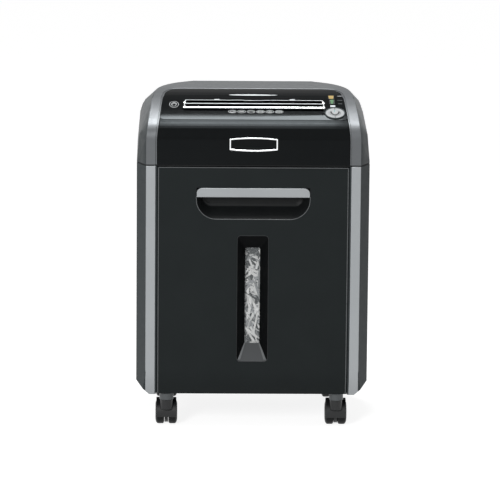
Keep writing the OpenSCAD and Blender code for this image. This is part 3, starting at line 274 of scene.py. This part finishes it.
def skin(rings, loop=False):
    """Faces between closed rings of equally many points in millimetres, with a cap on both ends.
    loop joins the last ring to the first in place of the caps."""
    bm = bmesh.new()
    rows = [[bm.verts.new(Vector(p) * MM) for p in ring] for ring in rings]
    n = len(rows[0])
    pairs = list(zip(rows, rows[1:])) + ([(rows[-1], rows[0])] if loop else [])
    for a, b in pairs:
        for i in range(n):
            j = (i + 1) % n
            bm.faces.new((a[i], a[j], b[j], b[i]))
    if not loop:
        bm.faces.new(rows[0][::-1])
        bm.faces.new(rows[-1])
    bmesh.ops.recalc_face_normals(bm, faces=bm.faces)
    return bm


def mesh_of(name, *parts):
    """One mesh from several bmesh parts."""
    mesh = bpy.data.meshes.new(name)
    whole = bmesh.new()
    for bm in parts:
        part = bpy.data.meshes.new("part")
        bm.to_mesh(part)
        bm.free()
        whole.from_mesh(part)
        bpy.data.meshes.remove(part)
    whole.to_mesh(mesh)
    whole.free()
    return mesh


MITRE_LIMIT = 0.35


def sweep(path, profile, place, closed=False):
    """Carries a closed profile of (aside, up) along a path of (x, y) with mitred corners.
    place turns (x, y, up) into the real point in millimetres."""
    pts = [Vector((p[0], p[1])) for p in path]
    n = len(pts)
    rings = []
    for i, p in enumerate(pts):
        before = p - pts[i - 1] if closed or i else pts[1] - p
        after = pts[(i + 1) % n] - p if closed or i < n - 1 else before
        t0, t1 = before.normalized(), after.normalized()
        side = Vector((-(t0 + t1).y, (t0 + t1).x)).normalized()
        stretch = 1 / max(MITRE_LIMIT, side.dot(Vector((-t0.y, t0.x))))
        rings.append([place((p.x + side.x * a * stretch, p.y + side.y * a * stretch, u)) for a, u in profile])
    return skin(rings, loop=closed)


def bar(width, low, high, round_off=0.0):
    """Profile of a flat line: full width at the bottom, its top corners rounded off."""
    h, r = width / 2, round_off
    if not r:
        return [(-h, low), (-h, high), (h, high), (h, low)]
    return [(-h, low), (-h, high - r), (-h + r, high), (h - r, high), (h, high - r), (h, low)]


def dome(width, low, high, steps=8):
    """Profile with a rounded top."""
    h, wall, rise = width / 2, (high - low) * 0.35, (high - low) * 0.65
    turns = [math.pi * i / steps for i in range(steps + 1)]
    return [(-h, low), *[(-h * math.cos(a), wall + low + rise * math.sin(a)) for a in turns], (h, low)]


def slab(outline, low, high, place):
    """Solid between two heights over an outline of (x, y)."""
    return skin([[place((x, y, low)) for x, y in outline], [place((x, y, high)) for x, y in outline]])


def arc(cx, cy, rx, ry, start, end, steps):
    """Points on part of an ellipse, between two angles in degrees."""
    return [(cx + rx * math.cos(math.radians(start + (end - start) * i / steps)),
             cy + ry * math.sin(math.radians(start + (end - start) * i / steps))) for i in range(steps + 1)]


def rounded(w, h, r, steps=6):
    """Rounded rectangle about its centre."""
    x, y = w / 2 - r, h / 2 - r
    corners = ((x, y, 0), (-x, y, 90), (-x, -y, 180), (x, -y, 270))
    return [p for cx, cy, a in corners for p in arc(cx, cy, r, r, a, a + 90, steps)]


def shifted(points, dx, dy):
    return [(x + dx, y + dy) for x, y in points]


def subdivide(points, step, closed=False):
    """Adds points so that no stretch of a path is longer than step."""
    out = []
    pairs = list(zip(points, points[1:])) + ([(points[-1], points[0])] if closed else [])
    for a, b in pairs:
        n = max(1, math.ceil(math.dist(a, b) / step))
        out += [(a[0] + (b[0] - a[0]) * i / n, a[1] + (b[1] - a[1]) * i / n) for i in range(n)]
    return out if closed else out + [points[-1]]


# ---- Places on the machine --------------------------------------------------

# The head's top is a small arc at the nose, then a large one up to its crest
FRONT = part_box("head_fascia")[0][1] / MM
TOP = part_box("head_band")[1][2] / MM
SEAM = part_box("left_strip")[1][2] / MM
NOSE_R, NOSE_TURN, NOSE_Z = 35.0, 66.0, TOP - 62.0
NOSE_DEPTH = NOSE_R * (1 - math.cos(math.radians(NOSE_TURN)))
NOSE_RISE = math.sin(math.radians(NOSE_TURN))
CROWN_R = (TOP - NOSE_Z - NOSE_R * NOSE_RISE) / (1 - NOSE_RISE)
CROWN_Y = NOSE_DEPTH + CROWN_R * math.cos(math.radians(NOSE_TURN))


def crown(depth):
    """Height and forward slope in degrees of the head's top at a depth behind its front."""
    if depth < NOSE_DEPTH:
        a = math.acos(max(-1, 1 - depth / NOSE_R))
        return NOSE_Z + NOSE_R * math.sin(a), 90 - math.degrees(a)
    d = max(0, CROWN_Y - depth)
    return TOP - CROWN_R + math.sqrt(CROWN_R ** 2 - d ** 2), math.degrees(math.asin(d / CROWN_R))


def on_crown(p):
    """(x, depth, lift) on the curved top of the head."""
    z, slope = crown(p[1])
    s = math.radians(slope)
    return (p[0], FRONT + p[1] - math.sin(s) * p[2], z + math.cos(s) * p[2])


def deck_plane(depth, x=0.0):
    """Place function of a flat plate set on the deck at a depth: (x, y up the slope, lift)."""
    z, slope = crown(depth)
    c, s = math.cos(math.radians(slope)), math.sin(math.radians(slope))

    def place(p):
        return (x + p[0], FRONT + depth + p[1] * c - p[2] * s, z + p[1] * s + p[2] * c)

    return place


def upright(y):
    """Place function of a plate that faces the front: (x, z, lift towards the front)."""
    return lambda p: (p[0], y - p[2], p[1])


def piece(name, mat, body, *parts, slot=None, replaces=(), width=0.0, angle=35):
    """A piece of the scene's own, made of one or more bmesh parts."""
    return polish(adopt(name, mesh_of(name, *parts), mat, body, replaces, slot), width, angle)


# ---- Camera, floor and light ------------------------------------------------


def camera(azimuth, elevation, distance, target, lens, roll):
    """A camera round the target; azimuth 0 looks along +Y."""
    cam = bpy.data.objects.new("camera", bpy.data.cameras.new("camera"))
    bpy.context.scene.collection.objects.link(cam)
    a, e = math.radians(azimuth), math.radians(elevation)
    back = Vector((math.sin(a) * math.cos(e), -math.cos(a) * math.cos(e), math.sin(e)))
    cam.location = Vector(target) + back * distance
    cam.rotation_mode = "QUATERNION"
    turn = (-back).to_track_quat("-Z", "Y")
    cam.rotation_quaternion = turn @ Matrix.Rotation(math.radians(roll), 3, "Z").to_quaternion()
    cam.data.lens = lens
    cam.data.sensor_width = 36
    cam.data.clip_start, cam.data.clip_end = 0.1, 60
    bpy.context.scene.camera = cam


def softbox(name, size, radiance, place, target):
    """A rectangular light of a given surface brightness."""
    data = bpy.data.lights.new(name, "AREA")
    data.shape = "RECTANGLE"
    data.size, data.size_y = size
    data.energy = radiance * math.pi * size[0] * size[1]
    o = bpy.data.objects.new(name, data)
    bpy.context.scene.collection.objects.link(o)
    o.location = place
    o.rotation_mode = "QUATERNION"
    o.rotation_quaternion = (Vector(target) - Vector(place)).to_track_quat("-Z", "Y")


def ray_seen(nt):
    """1 for rays from the camera, off a glossy surface or through glass."""
    lp = nt.nodes.new("ShaderNodeLightPath")
    total = lp.outputs["Is Camera Ray"]
    for other in ("Is Glossy Ray", "Is Transmission Ray"):
        add = nt.nodes.new("ShaderNodeMath")
        add.operation = "MAXIMUM"
        nt.links.new(total, add.inputs[0])
        nt.links.new(lp.outputs[other], add.inputs[1])
        total = add.outputs[0]
    return total


def world():
    """A white studio: full brightness where it is seen, less where it only lights."""
    w = bpy.data.worlds.new("studio")
    bpy.context.scene.world = w
    w.use_nodes = True
    nt = w.node_tree
    nt.nodes.clear()
    kinds = ("Background", "Background", "MixShader", "OutputWorld")
    seen, fill, mix, out = [nt.nodes.new("ShaderNode" + k) for k in kinds]
    seen.inputs["Color"].default_value = (1, 1, 1, 1)
    seen.inputs["Strength"].default_value = 1.0
    fill.inputs["Color"].default_value = (1, 1, 1, 1)
    fill.inputs["Strength"].default_value = 0.30
    nt.links.new(ray_seen(nt), mix.inputs[0])
    nt.links.new(fill.outputs[0], mix.inputs[1])
    nt.links.new(seen.outputs[0], mix.inputs[2])
    nt.links.new(mix.outputs[0], out.inputs[0])


def floor():
    """A plain pale floor that keeps the shadow."""
    bm = bmesh.new()
    bmesh.ops.create_grid(bm, x_segments=4, y_segments=4, size=14)
    mesh = bpy.data.meshes.new("floor")
    bm.to_mesh(mesh)
    bm.free()
    o = bpy.data.objects.new("floor", mesh)
    bpy.context.scene.collection.objects.link(o)
    m = bpy.data.materials.new("floor")
    m.use_nodes = True
    nt = m.node_tree
    nt.nodes.clear()
    kinds = ("BsdfDiffuse", "BsdfDiffuse", "Emission", "AddShader", "MixShader", "OutputMaterial")
    plain, pale, glow, lift, mix, out = [nt.nodes.new("ShaderNode" + k) for k in kinds]
    plain.inputs["Color"].default_value = (0.45, 0.45, 0.45, 1)
    pale.inputs["Color"].default_value = (0.42, 0.42, 0.42, 1)
    glow.inputs["Strength"].default_value = 0.86
    nt.links.new(pale.outputs[0], lift.inputs[0])
    nt.links.new(glow.outputs[0], lift.inputs[1])
    nt.links.new(ray_seen(nt), mix.inputs[0])
    nt.links.new(plain.outputs[0], mix.inputs[1])
    nt.links.new(lift.outputs[0], mix.inputs[2])
    nt.links.new(mix.outputs[0], out.inputs[0])
    o.data.materials.append(m)


bpy.context.scene.view_settings.view_transform = "Standard"
camera(azimuth=-1.0, elevation=12.5, distance=8.0, target=(-0.0025, 0, 0.2844), lens=337.2, roll=0.5)
world()
floor()
NOSE = Vector((0, -0.115, 0.535))
LIGHT_W, LIGHT_REACH = 0.36, 1.05

# Strips of light over the head, which its rolled front mirrors as one highlight that fades downwards.
# Each has its angle (90 is straight up, more is towards the back), the angle it spans and its brightness.
OVERHEAD = [("top_light", 121.5, 9, 21), ("fore_light_1", 107.5, 18, 14), ("fore_light_2", 91, 14, 19),
            ("fore_light_3", 77, 13, 11), ("fore_light_4", 63, 12, 3)]
for name, angle, span, radiance in OVERHEAD:
    a = math.radians(angle)
    size = (LIGHT_W, 2 * LIGHT_REACH * math.tan(math.radians(span / 2)))
    softbox(name, size, radiance, NOSE + Vector((0, -math.cos(a), math.sin(a))) * LIGHT_REACH, NOSE)
softbox("key_light", (0.7, 0.9), 26, (-1.25, -2.8, 1.5), (0, 0, 0.3))


# ---- Covers -----------------------------------------------------------------

# Finish and width in millimetres of the rounded edges of each node that keeps its CAD shape
DRESSED = {
    "head_shell": ("dark", 0.8), "head_band": ("band", 0.5), "head_fascia": ("gloss", 0.9),
    "control_deck": ("deck", 0.5), "left_cheek": ("dark", 0.8), "right_cheek": ("dark", 0.8),
    "left_strip": ("silver", 0.6), "right_strip": ("silver", 0.6), "back_panel": ("dark", 0.6),
    "bin_front": ("panel", 0.6), "bin_grip": ("silver", 0.8), "throat_bezel": ("deck", 0.5),
    "card_slot_trim": ("satin", 0.3), "key_ring": ("dark", 0.4), "control_key": ("key", 0.5),
    "reverse_key": ("key", 0.4), "forward_key": ("key", 0.4),
}
for n, (mat, width) in DRESSED.items():
    dress(n, mat, width)
for corner in ("front_left", "front_right", "rear_left", "rear_right"):
    dress(corner + "_fork", "hood", 0.4)
    dress(corner + "_wheels", "wheel", 0.4)
dress("caster_sockets", "socket", 0.6)
dress("rocker_switch", "red", 0.4)
dress("cord_gland", "black", 0.5)
dress("base_tray", "black", 0.4)
dress("bin_tub", "black", 0.5)

# Nodes that are hidden, or clear, and keep their CAD mesh
KEPT = {
    "throat_guides": "black", "head_base": "black", "left_side_frame": "steel", "right_side_frame": "steel",
    "front_cutter": "cutter", "rear_cutter": "cutter", "cutter_bushes": "bronze", "tie_rods": "steel",
    "stripper_combs": "nylon", "front_sync_gear": "steel", "rear_sync_gear": "steel", "drive_gear": "nylon",
    "intermediate_gear": "nylon", "gearbox_cover": "black", "motor_body": "steel", "motor_rotor": "cutter",
    "control_board": "board", "switch_housing": "black", "head_screws": "steel", "top_frame": "black",
    "interlock_switch": "lock", "window_pane": "clear",
}
for n, mat in KEPT.items():
    keep(n, mat)


# ---- Paper throat trims -----------------------------------------------------

BEZEL_DEPTH = 65.0
throat = deck_plane(BEZEL_DEPTH)
X0, X1 = -116.0, 118.0
BAR_Y, RAIL_Y, REAR_Y = -13.2, 0.6, 13.6
LOW, DECK_TOP = -0.6, 1.9
CORNER, DIP = 1.5, 1.3


def button(x, y, r, low, high, place, steps=20):
    """Round stud with a domed top."""
    turns = [2 * math.pi * i / steps for i in range(steps)]
    rings = []
    for scale, up in ((1, 0), (1, 0.45), (0.9, 0.75), (0.62, 0.95), (0.2, 1)):
        rings.append([place((x + r * scale * math.cos(a), y + r * scale * math.sin(a), low + (high - low) * up))
                      for a in turns])
    return skin(rings)


piece("throat_bar", "bright", "cabinet",
      sweep([(X0, BAR_Y), (X1, BAR_Y)], dome(5.0, LOW, 3.2), throat),
      *[button(x, BAR_Y, 2.9, LOW, 3.6, throat) for x in (X0, X1)], slot="bright_trim")
piece("throat_rail", "satin", "cabinet",
      sweep([(X0 + 1, RAIL_Y), (X1 - 1, RAIL_Y)], bar(2.0, DECK_TOP, 2.6, 0.3), throat), slot="bright_trim")
piece("throat_rear_line", "satin", "cabinet",
      sweep([(X0 + 2, REAR_Y - CORNER), (X0 + 4, REAR_Y), (-18, REAR_Y), (-14, REAR_Y - DIP), (15, REAR_Y - DIP),
             (19, REAR_Y), (X1 - 4, REAR_Y), (X1 - 2, REAR_Y - CORNER)], bar(1.2, DECK_TOP, 2.3, 0.15), throat),
      *[slab(shifted(rounded(9, 2.4, 0.8), x, REAR_Y + 1.5), DECK_TOP, 2.6, throat) for x in (-61.5, 65.5)],
      slot="bright_trim")
piece("throat_ends", "bright", "cabinet",
      *[sweep([(x, BAR_Y), (x, RAIL_Y), (x + d, REAR_Y - CORNER)], dome(2.0, DECK_TOP, 3.2), throat)
        for x, d in ((X0, 2), (X1, -2))],
      *[button(x, RAIL_Y + 3, 2.4, DECK_TOP, 3.4, throat) for x in (X0, X1)], slot="bright_trim")


# ---- Signs on the deck ------------------------------------------------------

LINE, SINK, STROKE_STEP = 0.85, -0.15, 1.2
INK = bar(LINE, SINK, 0.16)


def strokes(name, mat, depth, x, *paths, profile=INK):
    """Printed line signs, raised a hair, laid on the deck's curve. A path is (points, closed)."""
    def place(p):
        return on_crown((x + p[0], depth + p[1], p[2]))
    lines = [sweep(subdivide(pts, STROKE_STEP, closed), profile, place, closed) for pts, closed in paths]
    piece(name, mat, "cabinet", *lines, slot="black_gloss")


def oval(w, h, steps=28):
    """Closed ellipse about its centre."""
    return arc(0, 0, w / 2, h / 2, 0, 360 - 360 / steps, steps - 1)


SIGN_DEPTH, SIGN_W, SIGN_H, SIGN_SQUASH = 43.0, 13.2, 8.0, 0.75
SIGN_X = (-35.8, -20.3, -4.4, 11.5, 27.0, 42.7)
SIGNS = {
    "sign_sheets": [([(-4.5, -2.4), (1.5, -2.4), (3.6, 2.2), (-2.4, 2.2)], True),
                    ([(-2.8, -3.8), (3.2, -3.8), (4.9, 0.6)], False)],
    "sign_clip": [([(3.6, 1.7), (-2.6, 1.7), (-4.1, 0), (-2.6, -1.7), (2.9, -1.7), (4.0, -0.5), (2.9, 0.6),
                    (-1.8, 0.6)], False)],
    "sign_staple": [([(-3.8, -2.4), (-3.8, 1.9), (3.8, 1.9), (3.8, -2.4)], False)],
    "sign_card": [(rounded(8.4, 5.4, 0.9, 3), True), ([(-4.0, 0.9), (4.0, 0.9)], False)],
    "sign_disc": [(oval(7.2, 7.2), True), (oval(2.4, 2.4, 12), True)],
    "sign_letter": [([(-4.2, -2.7), (4.2, -2.7), (4.2, 2.7), (-4.2, 2.7)], True),
                    ([(-4.2, 2.7), (0, -0.4), (4.2, 2.7)], False)],
}
for (name, inner), x in zip(SIGNS.items(), SIGN_X):
    flat = [([(a, b * SIGN_SQUASH) for a, b in pts], closed) for pts, closed in inner]
    strokes(name, "print", SIGN_DEPTH, x, (oval(SIGN_W, SIGN_H), True), *flat)

HAND = [(-3.4, -6.0), (2.2, -6.0), (4.4, -1.2), (4.9, 2.8), (3.7, 3.0), (3.0, 0.2), (2.9, 6.0), (1.5, 6.2),
        (1.1, 1.2), (0.5, 7.2), (-1.0, 7.2), (-1.1, 1.2), (-2.2, 6.0), (-3.6, 5.6), (-3.4, -0.4), (-5.2, 2.2),
        (-6.0, 1.2), (-4.6, -3.2)]
palm = shifted([(x * 0.84, y * 1.02) for x, y in HAND], 0.2, 0)
strokes("sign_hand", "print", 66.0, -133.5, (oval(15, 22), True), (palm, True))
MARKS_X = 146.0
MARKS = [("print", 103.0, 8.0, 1.6), ("faint", 84.5, 8.5, 2.2), ("faint", 71.0, 7.0, 2.2)]
for i, (mat, depth, w, thick) in enumerate(MARKS):
    strokes("lamp_mark_%d" % (i + 1), mat, depth, MARKS_X, ([(-w / 2, 0), (w / 2, 0)], False),
            profile=bar(thick, SINK, 0.14))


# ---- Lamps ------------------------------------------------------------------


def lamp(node, mat, x, depth, w, h, far, near):
    """A lamp that tapers from its far edge to its near one, in its black cell."""
    place = deck_plane(depth, x)
    play, edge = 0.06, h / 2 - 0.5
    cell = rounded(w - play, h - play, 1.1, 4)
    outline = [(-near / 2, -edge), (near / 2, -edge), (far / 2, edge), (-far / 2, edge)]
    piece(node + "_cell", "black", "cabinet", slab(cell, -2.0, -0.25, place), slot="black_gloss")
    piece(node + "_lamp", mat, "cabinet", slab(outline, -1.0, 0.3, place), replaces=(node,), width=0.35)


lamp("amber_lens", "amber", 131.5, 97.5, 10.0, 15.0, 9.4, 7.0)
lamp("green_lens", "green", 132.5, 78.5, 9.3, 17.0, 6.8, 3.6)
lamp("white_lens", "white", 133.5, 62.3, 9.3, 7.0, 8.6, 8.0)


# ---- Keys -------------------------------------------------------------------

KEY_X, KEY_DEPTH = 136.5, 39.0
key_place = deck_plane(KEY_DEPTH, KEY_X)
KEY_TOP, MARK_TOP = 1.2, 1.6
# The dark V on the key is painted shadow: the shade on the near wall of the raised key's lower half.
half_shadow = [(0, -6.9), (2.2, -5.8), (4.7, -3.6), (6.4, -0.5), (6.4, 3.6)]
key_painted_shadow = [(-x, y) for x, y in half_shadow[:0:-1]] + half_shadow
key_lamp = shifted(rounded(1.7, 5.4, 0.8, 5), -0.8, 5.2)
piece("key_painted_shadow", "wheel", "centre_key", sweep(key_painted_shadow, bar(2.6, KEY_TOP, MARK_TOP, 0.15), key_place),
      slot="black_plastic")
piece("key_lamp", "teal", "centre_key", slab(key_lamp, KEY_TOP, MARK_TOP, key_place), slot="green_light")


# ---- Name plate, left bare --------------------------------------------------

PLATE_Z, PLATE_W, PLATE_H, PLATE_T, PLATE_BOW = SEAM + 37, 81.0, 24.0, 1.0, 2.3


def bowed(inset, steps=16):
    """Outline of the plate, drawn in all round, with its long edges bowed."""
    w, h = PLATE_W / 2 - inset, PLATE_H / 2 - inset
    upper = [(w * (2 * i / steps - 1), h - PLATE_BOW * (2 * i / steps - 1) ** 2) for i in range(steps + 1)]
    return shifted(upper + [(x, -z) for x, z in reversed(upper)], 0, PLATE_Z)


plate_place = upright(FRONT + PLATE_T)
piece("name_plate_rim", "bright", "cabinet", sweep(bowed(1.2), bar(2.3, 0, PLATE_T, 0.3), plate_place, closed=True),
      replaces=("name_plate",))
piece("name_plate_field", "gloss", "cabinet", slab(bowed(1.5), 0, 0.45, plate_place), slot="black_gloss")


# ---- Bin front --------------------------------------------------------------

BIN_FACE = FRONT + 2.0
TURN_Z, TURN_IN, UNDER_Z = 106.0, 13.0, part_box("base_tray")[0][2] / MM


def face_y(z):
    """Where the bin's front face is at a height: upright, then turning under."""
    return BIN_FACE + TURN_IN * (max(0, TURN_Z - z) / (TURN_Z - UNDER_Z)) ** 2


def on_face(p):
    """(x, z, lift) on the bin's front face."""
    return (p[0], face_y(p[1]) - p[2], p[1])


# Thin lighter lines along the bin panel's top and side edges: painted highlights where the edges catch the light.
EDGE_X, EDGE_W = 158.8, 1.3
piece("panel_top_highlight", "line", "bin",
      sweep([(-EDGE_X, SEAM - 2.8), (EDGE_X, SEAM - 2.8)], bar(EDGE_W, -0.3, 0.5, 0.2), on_face),
      slot="silver_plastic")
piece("panel_edge_highlights", "line", "bin",
      *[sweep(subdivide([(x, SEAM - 3.2), (x, UNDER_Z + 2.5)], 4), bar(EDGE_W, -0.3, 0.35, 0.2), on_face)
        for x in (-EDGE_X, EDGE_X)], slot="silver_plastic")

GRIP_Z, GRIP_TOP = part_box("bin_grip")[0][2] / MM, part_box("bin_grip")[1][2] / MM
POCKET_W, POCKET_FOOT, POCKET_R = 95.7, GRIP_Z - 38.0, 34.0


def lower_corners(half_w, foot, r, steps):
    """Two rounded lower corners, from left to right."""
    return arc(-half_w + r, foot + r, r, r, 180, 270, steps) + arc(half_w - r, foot + r, r, r, 270, 360, steps)


def pocket_ring(depth, half_w, foot, r):
    """Outline of the hand pocket at a depth behind the bin's face."""
    pts = [(half_w, GRIP_TOP), (-half_w, GRIP_TOP), *lower_corners(half_w, foot, r, 14)]
    return [(x, BIN_FACE + depth, z) for x, z in pts]


# Inside of the pocket from its mouth to its back: depth, how far the sides and the foot come in, corner radius
POCKET_INNER = [(0.0, 0.0, 0.0, POCKET_R), (0.25, 0.9, 0.9, 33.2), (5.0, 2.0, 4.0, 31.0), (12.0, 4.6, 9.4, 27.0),
                (18.0, 8.0, 14.4, 20.0), (21.5, 10.8, 17.2, 15.0), (22.6, 12.0, 18.6, 13.0), (22.9, 12.8, 20.4, 12.0),
                (23.3, 13.4, 22.2, 11.4), (24.4, 14.4, 24.2, 10.4), (24.6, 15.0, 25.6, 10.0)]
LIT_WALL_DEPTH, LIT_WALL_FOOT = 22.3, 17.0
rings = [pocket_ring(26.4, 86.0, GRIP_Z - 20.0, 13.0), pocket_ring(20.0, 92.0, GRIP_Z - 25.0, 22.0),
         pocket_ring(4.0, 95.4, POCKET_FOOT + 0.6, POCKET_R)]
rings += [pocket_ring(d, POCKET_W - w, POCKET_FOOT + f, r) for d, w, f, r in POCKET_INNER]
pocket = piece("handle_pocket_shell", ["black", "pocket_light"], "bin", skin(rings), replaces=("handle_pocket",), angle=50)
# The pocket's back wall, above its foot, takes the lighter grey: painted light falling in on it; the rest stays black.
for f in pocket.data.polygons:
    y, z = f.center.y / MM - BIN_FACE, f.center.z / MM - POCKET_FOOT
    if y > LIT_WALL_DEPTH and z > LIT_WALL_FOOT and f.normal.y < 0.3:
        f.material_index = 1
# A thin lighter line round the pocket's mouth: painted highlight on its edge.
half = POCKET_W - 0.2
mouth = [(-half, GRIP_Z + 1), *lower_corners(half, POCKET_FOOT, POCKET_R, 16), (half, GRIP_Z + 1)]
piece("pocket_outline", "line", "bin", sweep(mouth, bar(1.1, -0.3, 0.3, 0.2), upright(BIN_FACE)), slot="silver_plastic")


# ---- Window -----------------------------------------------------------------

low_c, high_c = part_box("window_bezel")
WIN_W, WIN_H = (high_c[0] - low_c[0]) / MM, (high_c[2] - low_c[2]) / MM
WIN_Z, WIN_BACK = (high_c[2] + low_c[2]) / 2 / MM, high_c[1] / MM
WIN_R = 6
PANE_W, PANE_H, PANE_FOOT = 25.0, 165.0, 149.0
PANE_Z = PANE_FOOT + PANE_H / 2
PANE_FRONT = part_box("window_pane")[0][1] / MM


def mouth_ring(less_w, less_h, r, y):
    """Outline of the recess, drawn in by an amount."""
    return [(px, y, pz + WIN_Z) for px, pz in rounded(WIN_W - less_w, WIN_H - less_h, r)]


def pane_ring(more, r, y):
    """Outline of the pane, drawn out by an amount."""
    return [(px, y, pz + PANE_Z) for px, pz in rounded(PANE_W + more, PANE_H + more, r)]


# Round the recess: its back, its sides, over the front edge and down the funnel to the pane
rings = [pane_ring(12, 5, WIN_BACK - 0.1), mouth_ring(2, 2, WIN_R, WIN_BACK - 6),
         mouth_ring(0, 0, WIN_R, BIN_FACE + 3), mouth_ring(0, 0, WIN_R, BIN_FACE),
         mouth_ring(1.6, 1.6, 5.4, BIN_FACE + 0.2), mouth_ring(3.4, 4, 5.2, BIN_FACE + 2.0),
         pane_ring(1.5, 3.4, PANE_FRONT - 1.4), pane_ring(0, 3, PANE_FRONT - 0.2)]
window = piece("window_funnel", ["hollow", "slope"], "bin", skin(rings, loop=True), replaces=("window_bezel",),
               angle=40)
# Up-facing faces low in the recess, in front of the pane, take the lighter grey: painted light from above on the slope.
for f in window.data.polygons:
    lit_slope_face = f.center.z / MM < PANE_FOOT + 4 and f.center.y / MM < PANE_FRONT
    if lit_slope_face and f.normal.z > 0.35 and f.normal.y < 0:
        f.material_index = 1
# A thin lighter line round the recess's mouth: painted highlight on its edge.
edge = shifted(rounded(WIN_W - 0.4, WIN_H - 0.4, WIN_R), 0, WIN_Z)
piece("window_rim_highlight", "faint", "bin", sweep(edge, bar(0.9, -0.3, 0.3, 0.2), upright(BIN_FACE), closed=True),
      slot="silver_plastic")


def ridge(side):
    """Rounded rib down a lower corner of the window recess."""
    steps, corners = 6, 14
    far = (side * (PANE_W / 2 - 0.6), PANE_FRONT - 1.6, PANE_Z - PANE_H / 2 + 0.6, 0.7)
    near = (side * (WIN_W / 2 - 5.0), BIN_FACE + 2.6, WIN_Z - WIN_H / 2 + 5.2, 2.5)
    turns = [2 * math.pi * k / corners for k in range(corners)]
    rings = []
    for i in range(steps + 1):
        x, y, z, r = [a + (b - a) * (i / steps) for a, b in zip(far, near)]
        rings.append([(x + r * math.cos(a), y + 0.5 * r * math.sin(a), z + 0.9 * r * math.sin(a)) for a in turns])
    return skin(rings)


# The ribs are real fillets; their lighter grey finish paints the highlight that runs down them.
piece("window_ridge_highlights", "line", "bin", ridge(-1), ridge(1), slot="black_plastic")


# ---- Shreds -----------------------------------------------------------------

rng = random.Random(7)
lo, hi = [[c / MM for c in v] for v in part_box("paper_shreds")]
RIM = 26.0


def heap_top(x):
    """Height of the heap over its width."""
    half = (hi[0] - lo[0]) / 2
    return hi[2] - RIM + RIM * math.sqrt(max(0, 1 - (x / half) ** 2))


def shred(centre, along, across, length, width, curl, twist, bend):
    """Pairs of points along the two edges of one curled strip of paper."""
    steps = 7
    along, across = along.normalized(), across.normalized()
    normal = along.cross(across).normalized()
    rows = []
    for i in range(steps + 1):
        t = i / steps - 0.5
        p = centre + along * length * t + normal * curl * (1 - (2 * t) ** 2) + across * bend * (2 * t) ** 2
        a = twist * t
        side = across * math.cos(a) + normal * math.sin(a)
        rows.append([tuple(p - side * width / 2), tuple(p + side * width / 2)])
    return rows


WINDOW_STRIPS, LOOSE_STRIPS = 190, 900
WINDOW_X, WINDOW_FOOT, WINDOW_HEAD = 26, 134, 302
# Strips come white, grey and near black; the grey and near-black ones are the white paper with painted shade.
STRIP_SHADES = (0, 0, 0, 1, 1, 2)  # finish of a strip, by how often it comes up


def shreds():
    """Loose strips behind the window and over the top of the heap: white ones, grey ones and a few near-black ones, the
    grey and near-black ones painted shade.
    """
    bm = bmesh.new()

    def add(rows):
        verts = [[bm.verts.new(Vector(p) * MM) for p in row] for row in rows]
        shade_pick = rng.choice(STRIP_SHADES)
        for a, b in zip(verts, verts[1:]):
            bm.faces.new((a[0], a[1], b[1], b[0])).material_index = shade_pick

    def fits(rows):
        return all(lo[0] + 0.3 < x < hi[0] - 0.3 and lo[1] + 0.1 < y < hi[1] - 0.3 and lo[2] < z < hi[2] - 0.2
                   for row in rows for x, y, z in row)

    count = 0
    while count < WINDOW_STRIPS:
        a = math.radians(rng.uniform(-75, 75))
        along = Vector((math.sin(a), rng.uniform(-0.06, 0.06), math.cos(a)))
        across = Vector((math.cos(a), rng.uniform(-0.5, 0.5), -math.sin(a)))
        centre = Vector((rng.uniform(-WINDOW_X, WINDOW_X), lo[1] + rng.uniform(1.0, 8.5),
                         rng.uniform(WINDOW_FOOT, WINDOW_HEAD)))
        rows = shred(centre, along, across, rng.uniform(16, 58), rng.uniform(2.8, 4.8), rng.uniform(-2.2, 2.2),
                     rng.uniform(-1.8, 1.8), rng.uniform(-3, 3))
        if fits(rows):
            add(rows)
            count += 1
    count = 0
    while count < LOOSE_STRIPS:
        x, y = rng.uniform(lo[0] + 8, hi[0] - 8), rng.uniform(lo[1] + 8, hi[1] - 8)
        a = rng.uniform(0, math.pi)
        along = Vector((math.cos(a), math.sin(a), rng.uniform(-0.25, 0.25)))
        across = Vector((-math.sin(a), math.cos(a), rng.uniform(-0.7, 0.7)))
        centre = Vector((x, y, heap_top(x) - rng.uniform(2, 8)))
        rows = shred(centre, along, across, rng.uniform(16, 46), rng.uniform(2.6, 4.2), rng.uniform(-3.5, 3.5),
                     rng.uniform(-1.6, 1.6), rng.uniform(-4, 4))
        if fits(rows):
            add(rows)
            count += 1
    return bm


def heap_core():
    """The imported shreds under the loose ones: a lumpy block."""
    inset, lump, across, along = 7.0, 2.2, 44, 28
    left, right = lo[0] + inset, hi[0] - inset
    rings = []
    for j in range(along + 1):
        y = lo[1] + inset + (hi[1] - lo[1] - 2 * inset) * j / along
        ring = []
        for i in range(across + 1):
            x = left + (hi[0] - lo[0] - 2 * inset) * i / across
            ring.append((x, y, heap_top(x * 0.99) - inset + rng.uniform(-lump, lump)))
        rings.append(ring + [(right, y, lo[2]), (left, y, lo[2])])
    return skin(rings)


# The heap's core is paper, finished near black: painted shade in the gaps between the loose strips.
piece("paper_heap", "deep", "bin", heap_core(), replaces=("paper_shreds",), angle=80)
piece("paper_strips", ["paper", "shade", "deep"], "bin", shreds(), slot="shreds", angle=80)
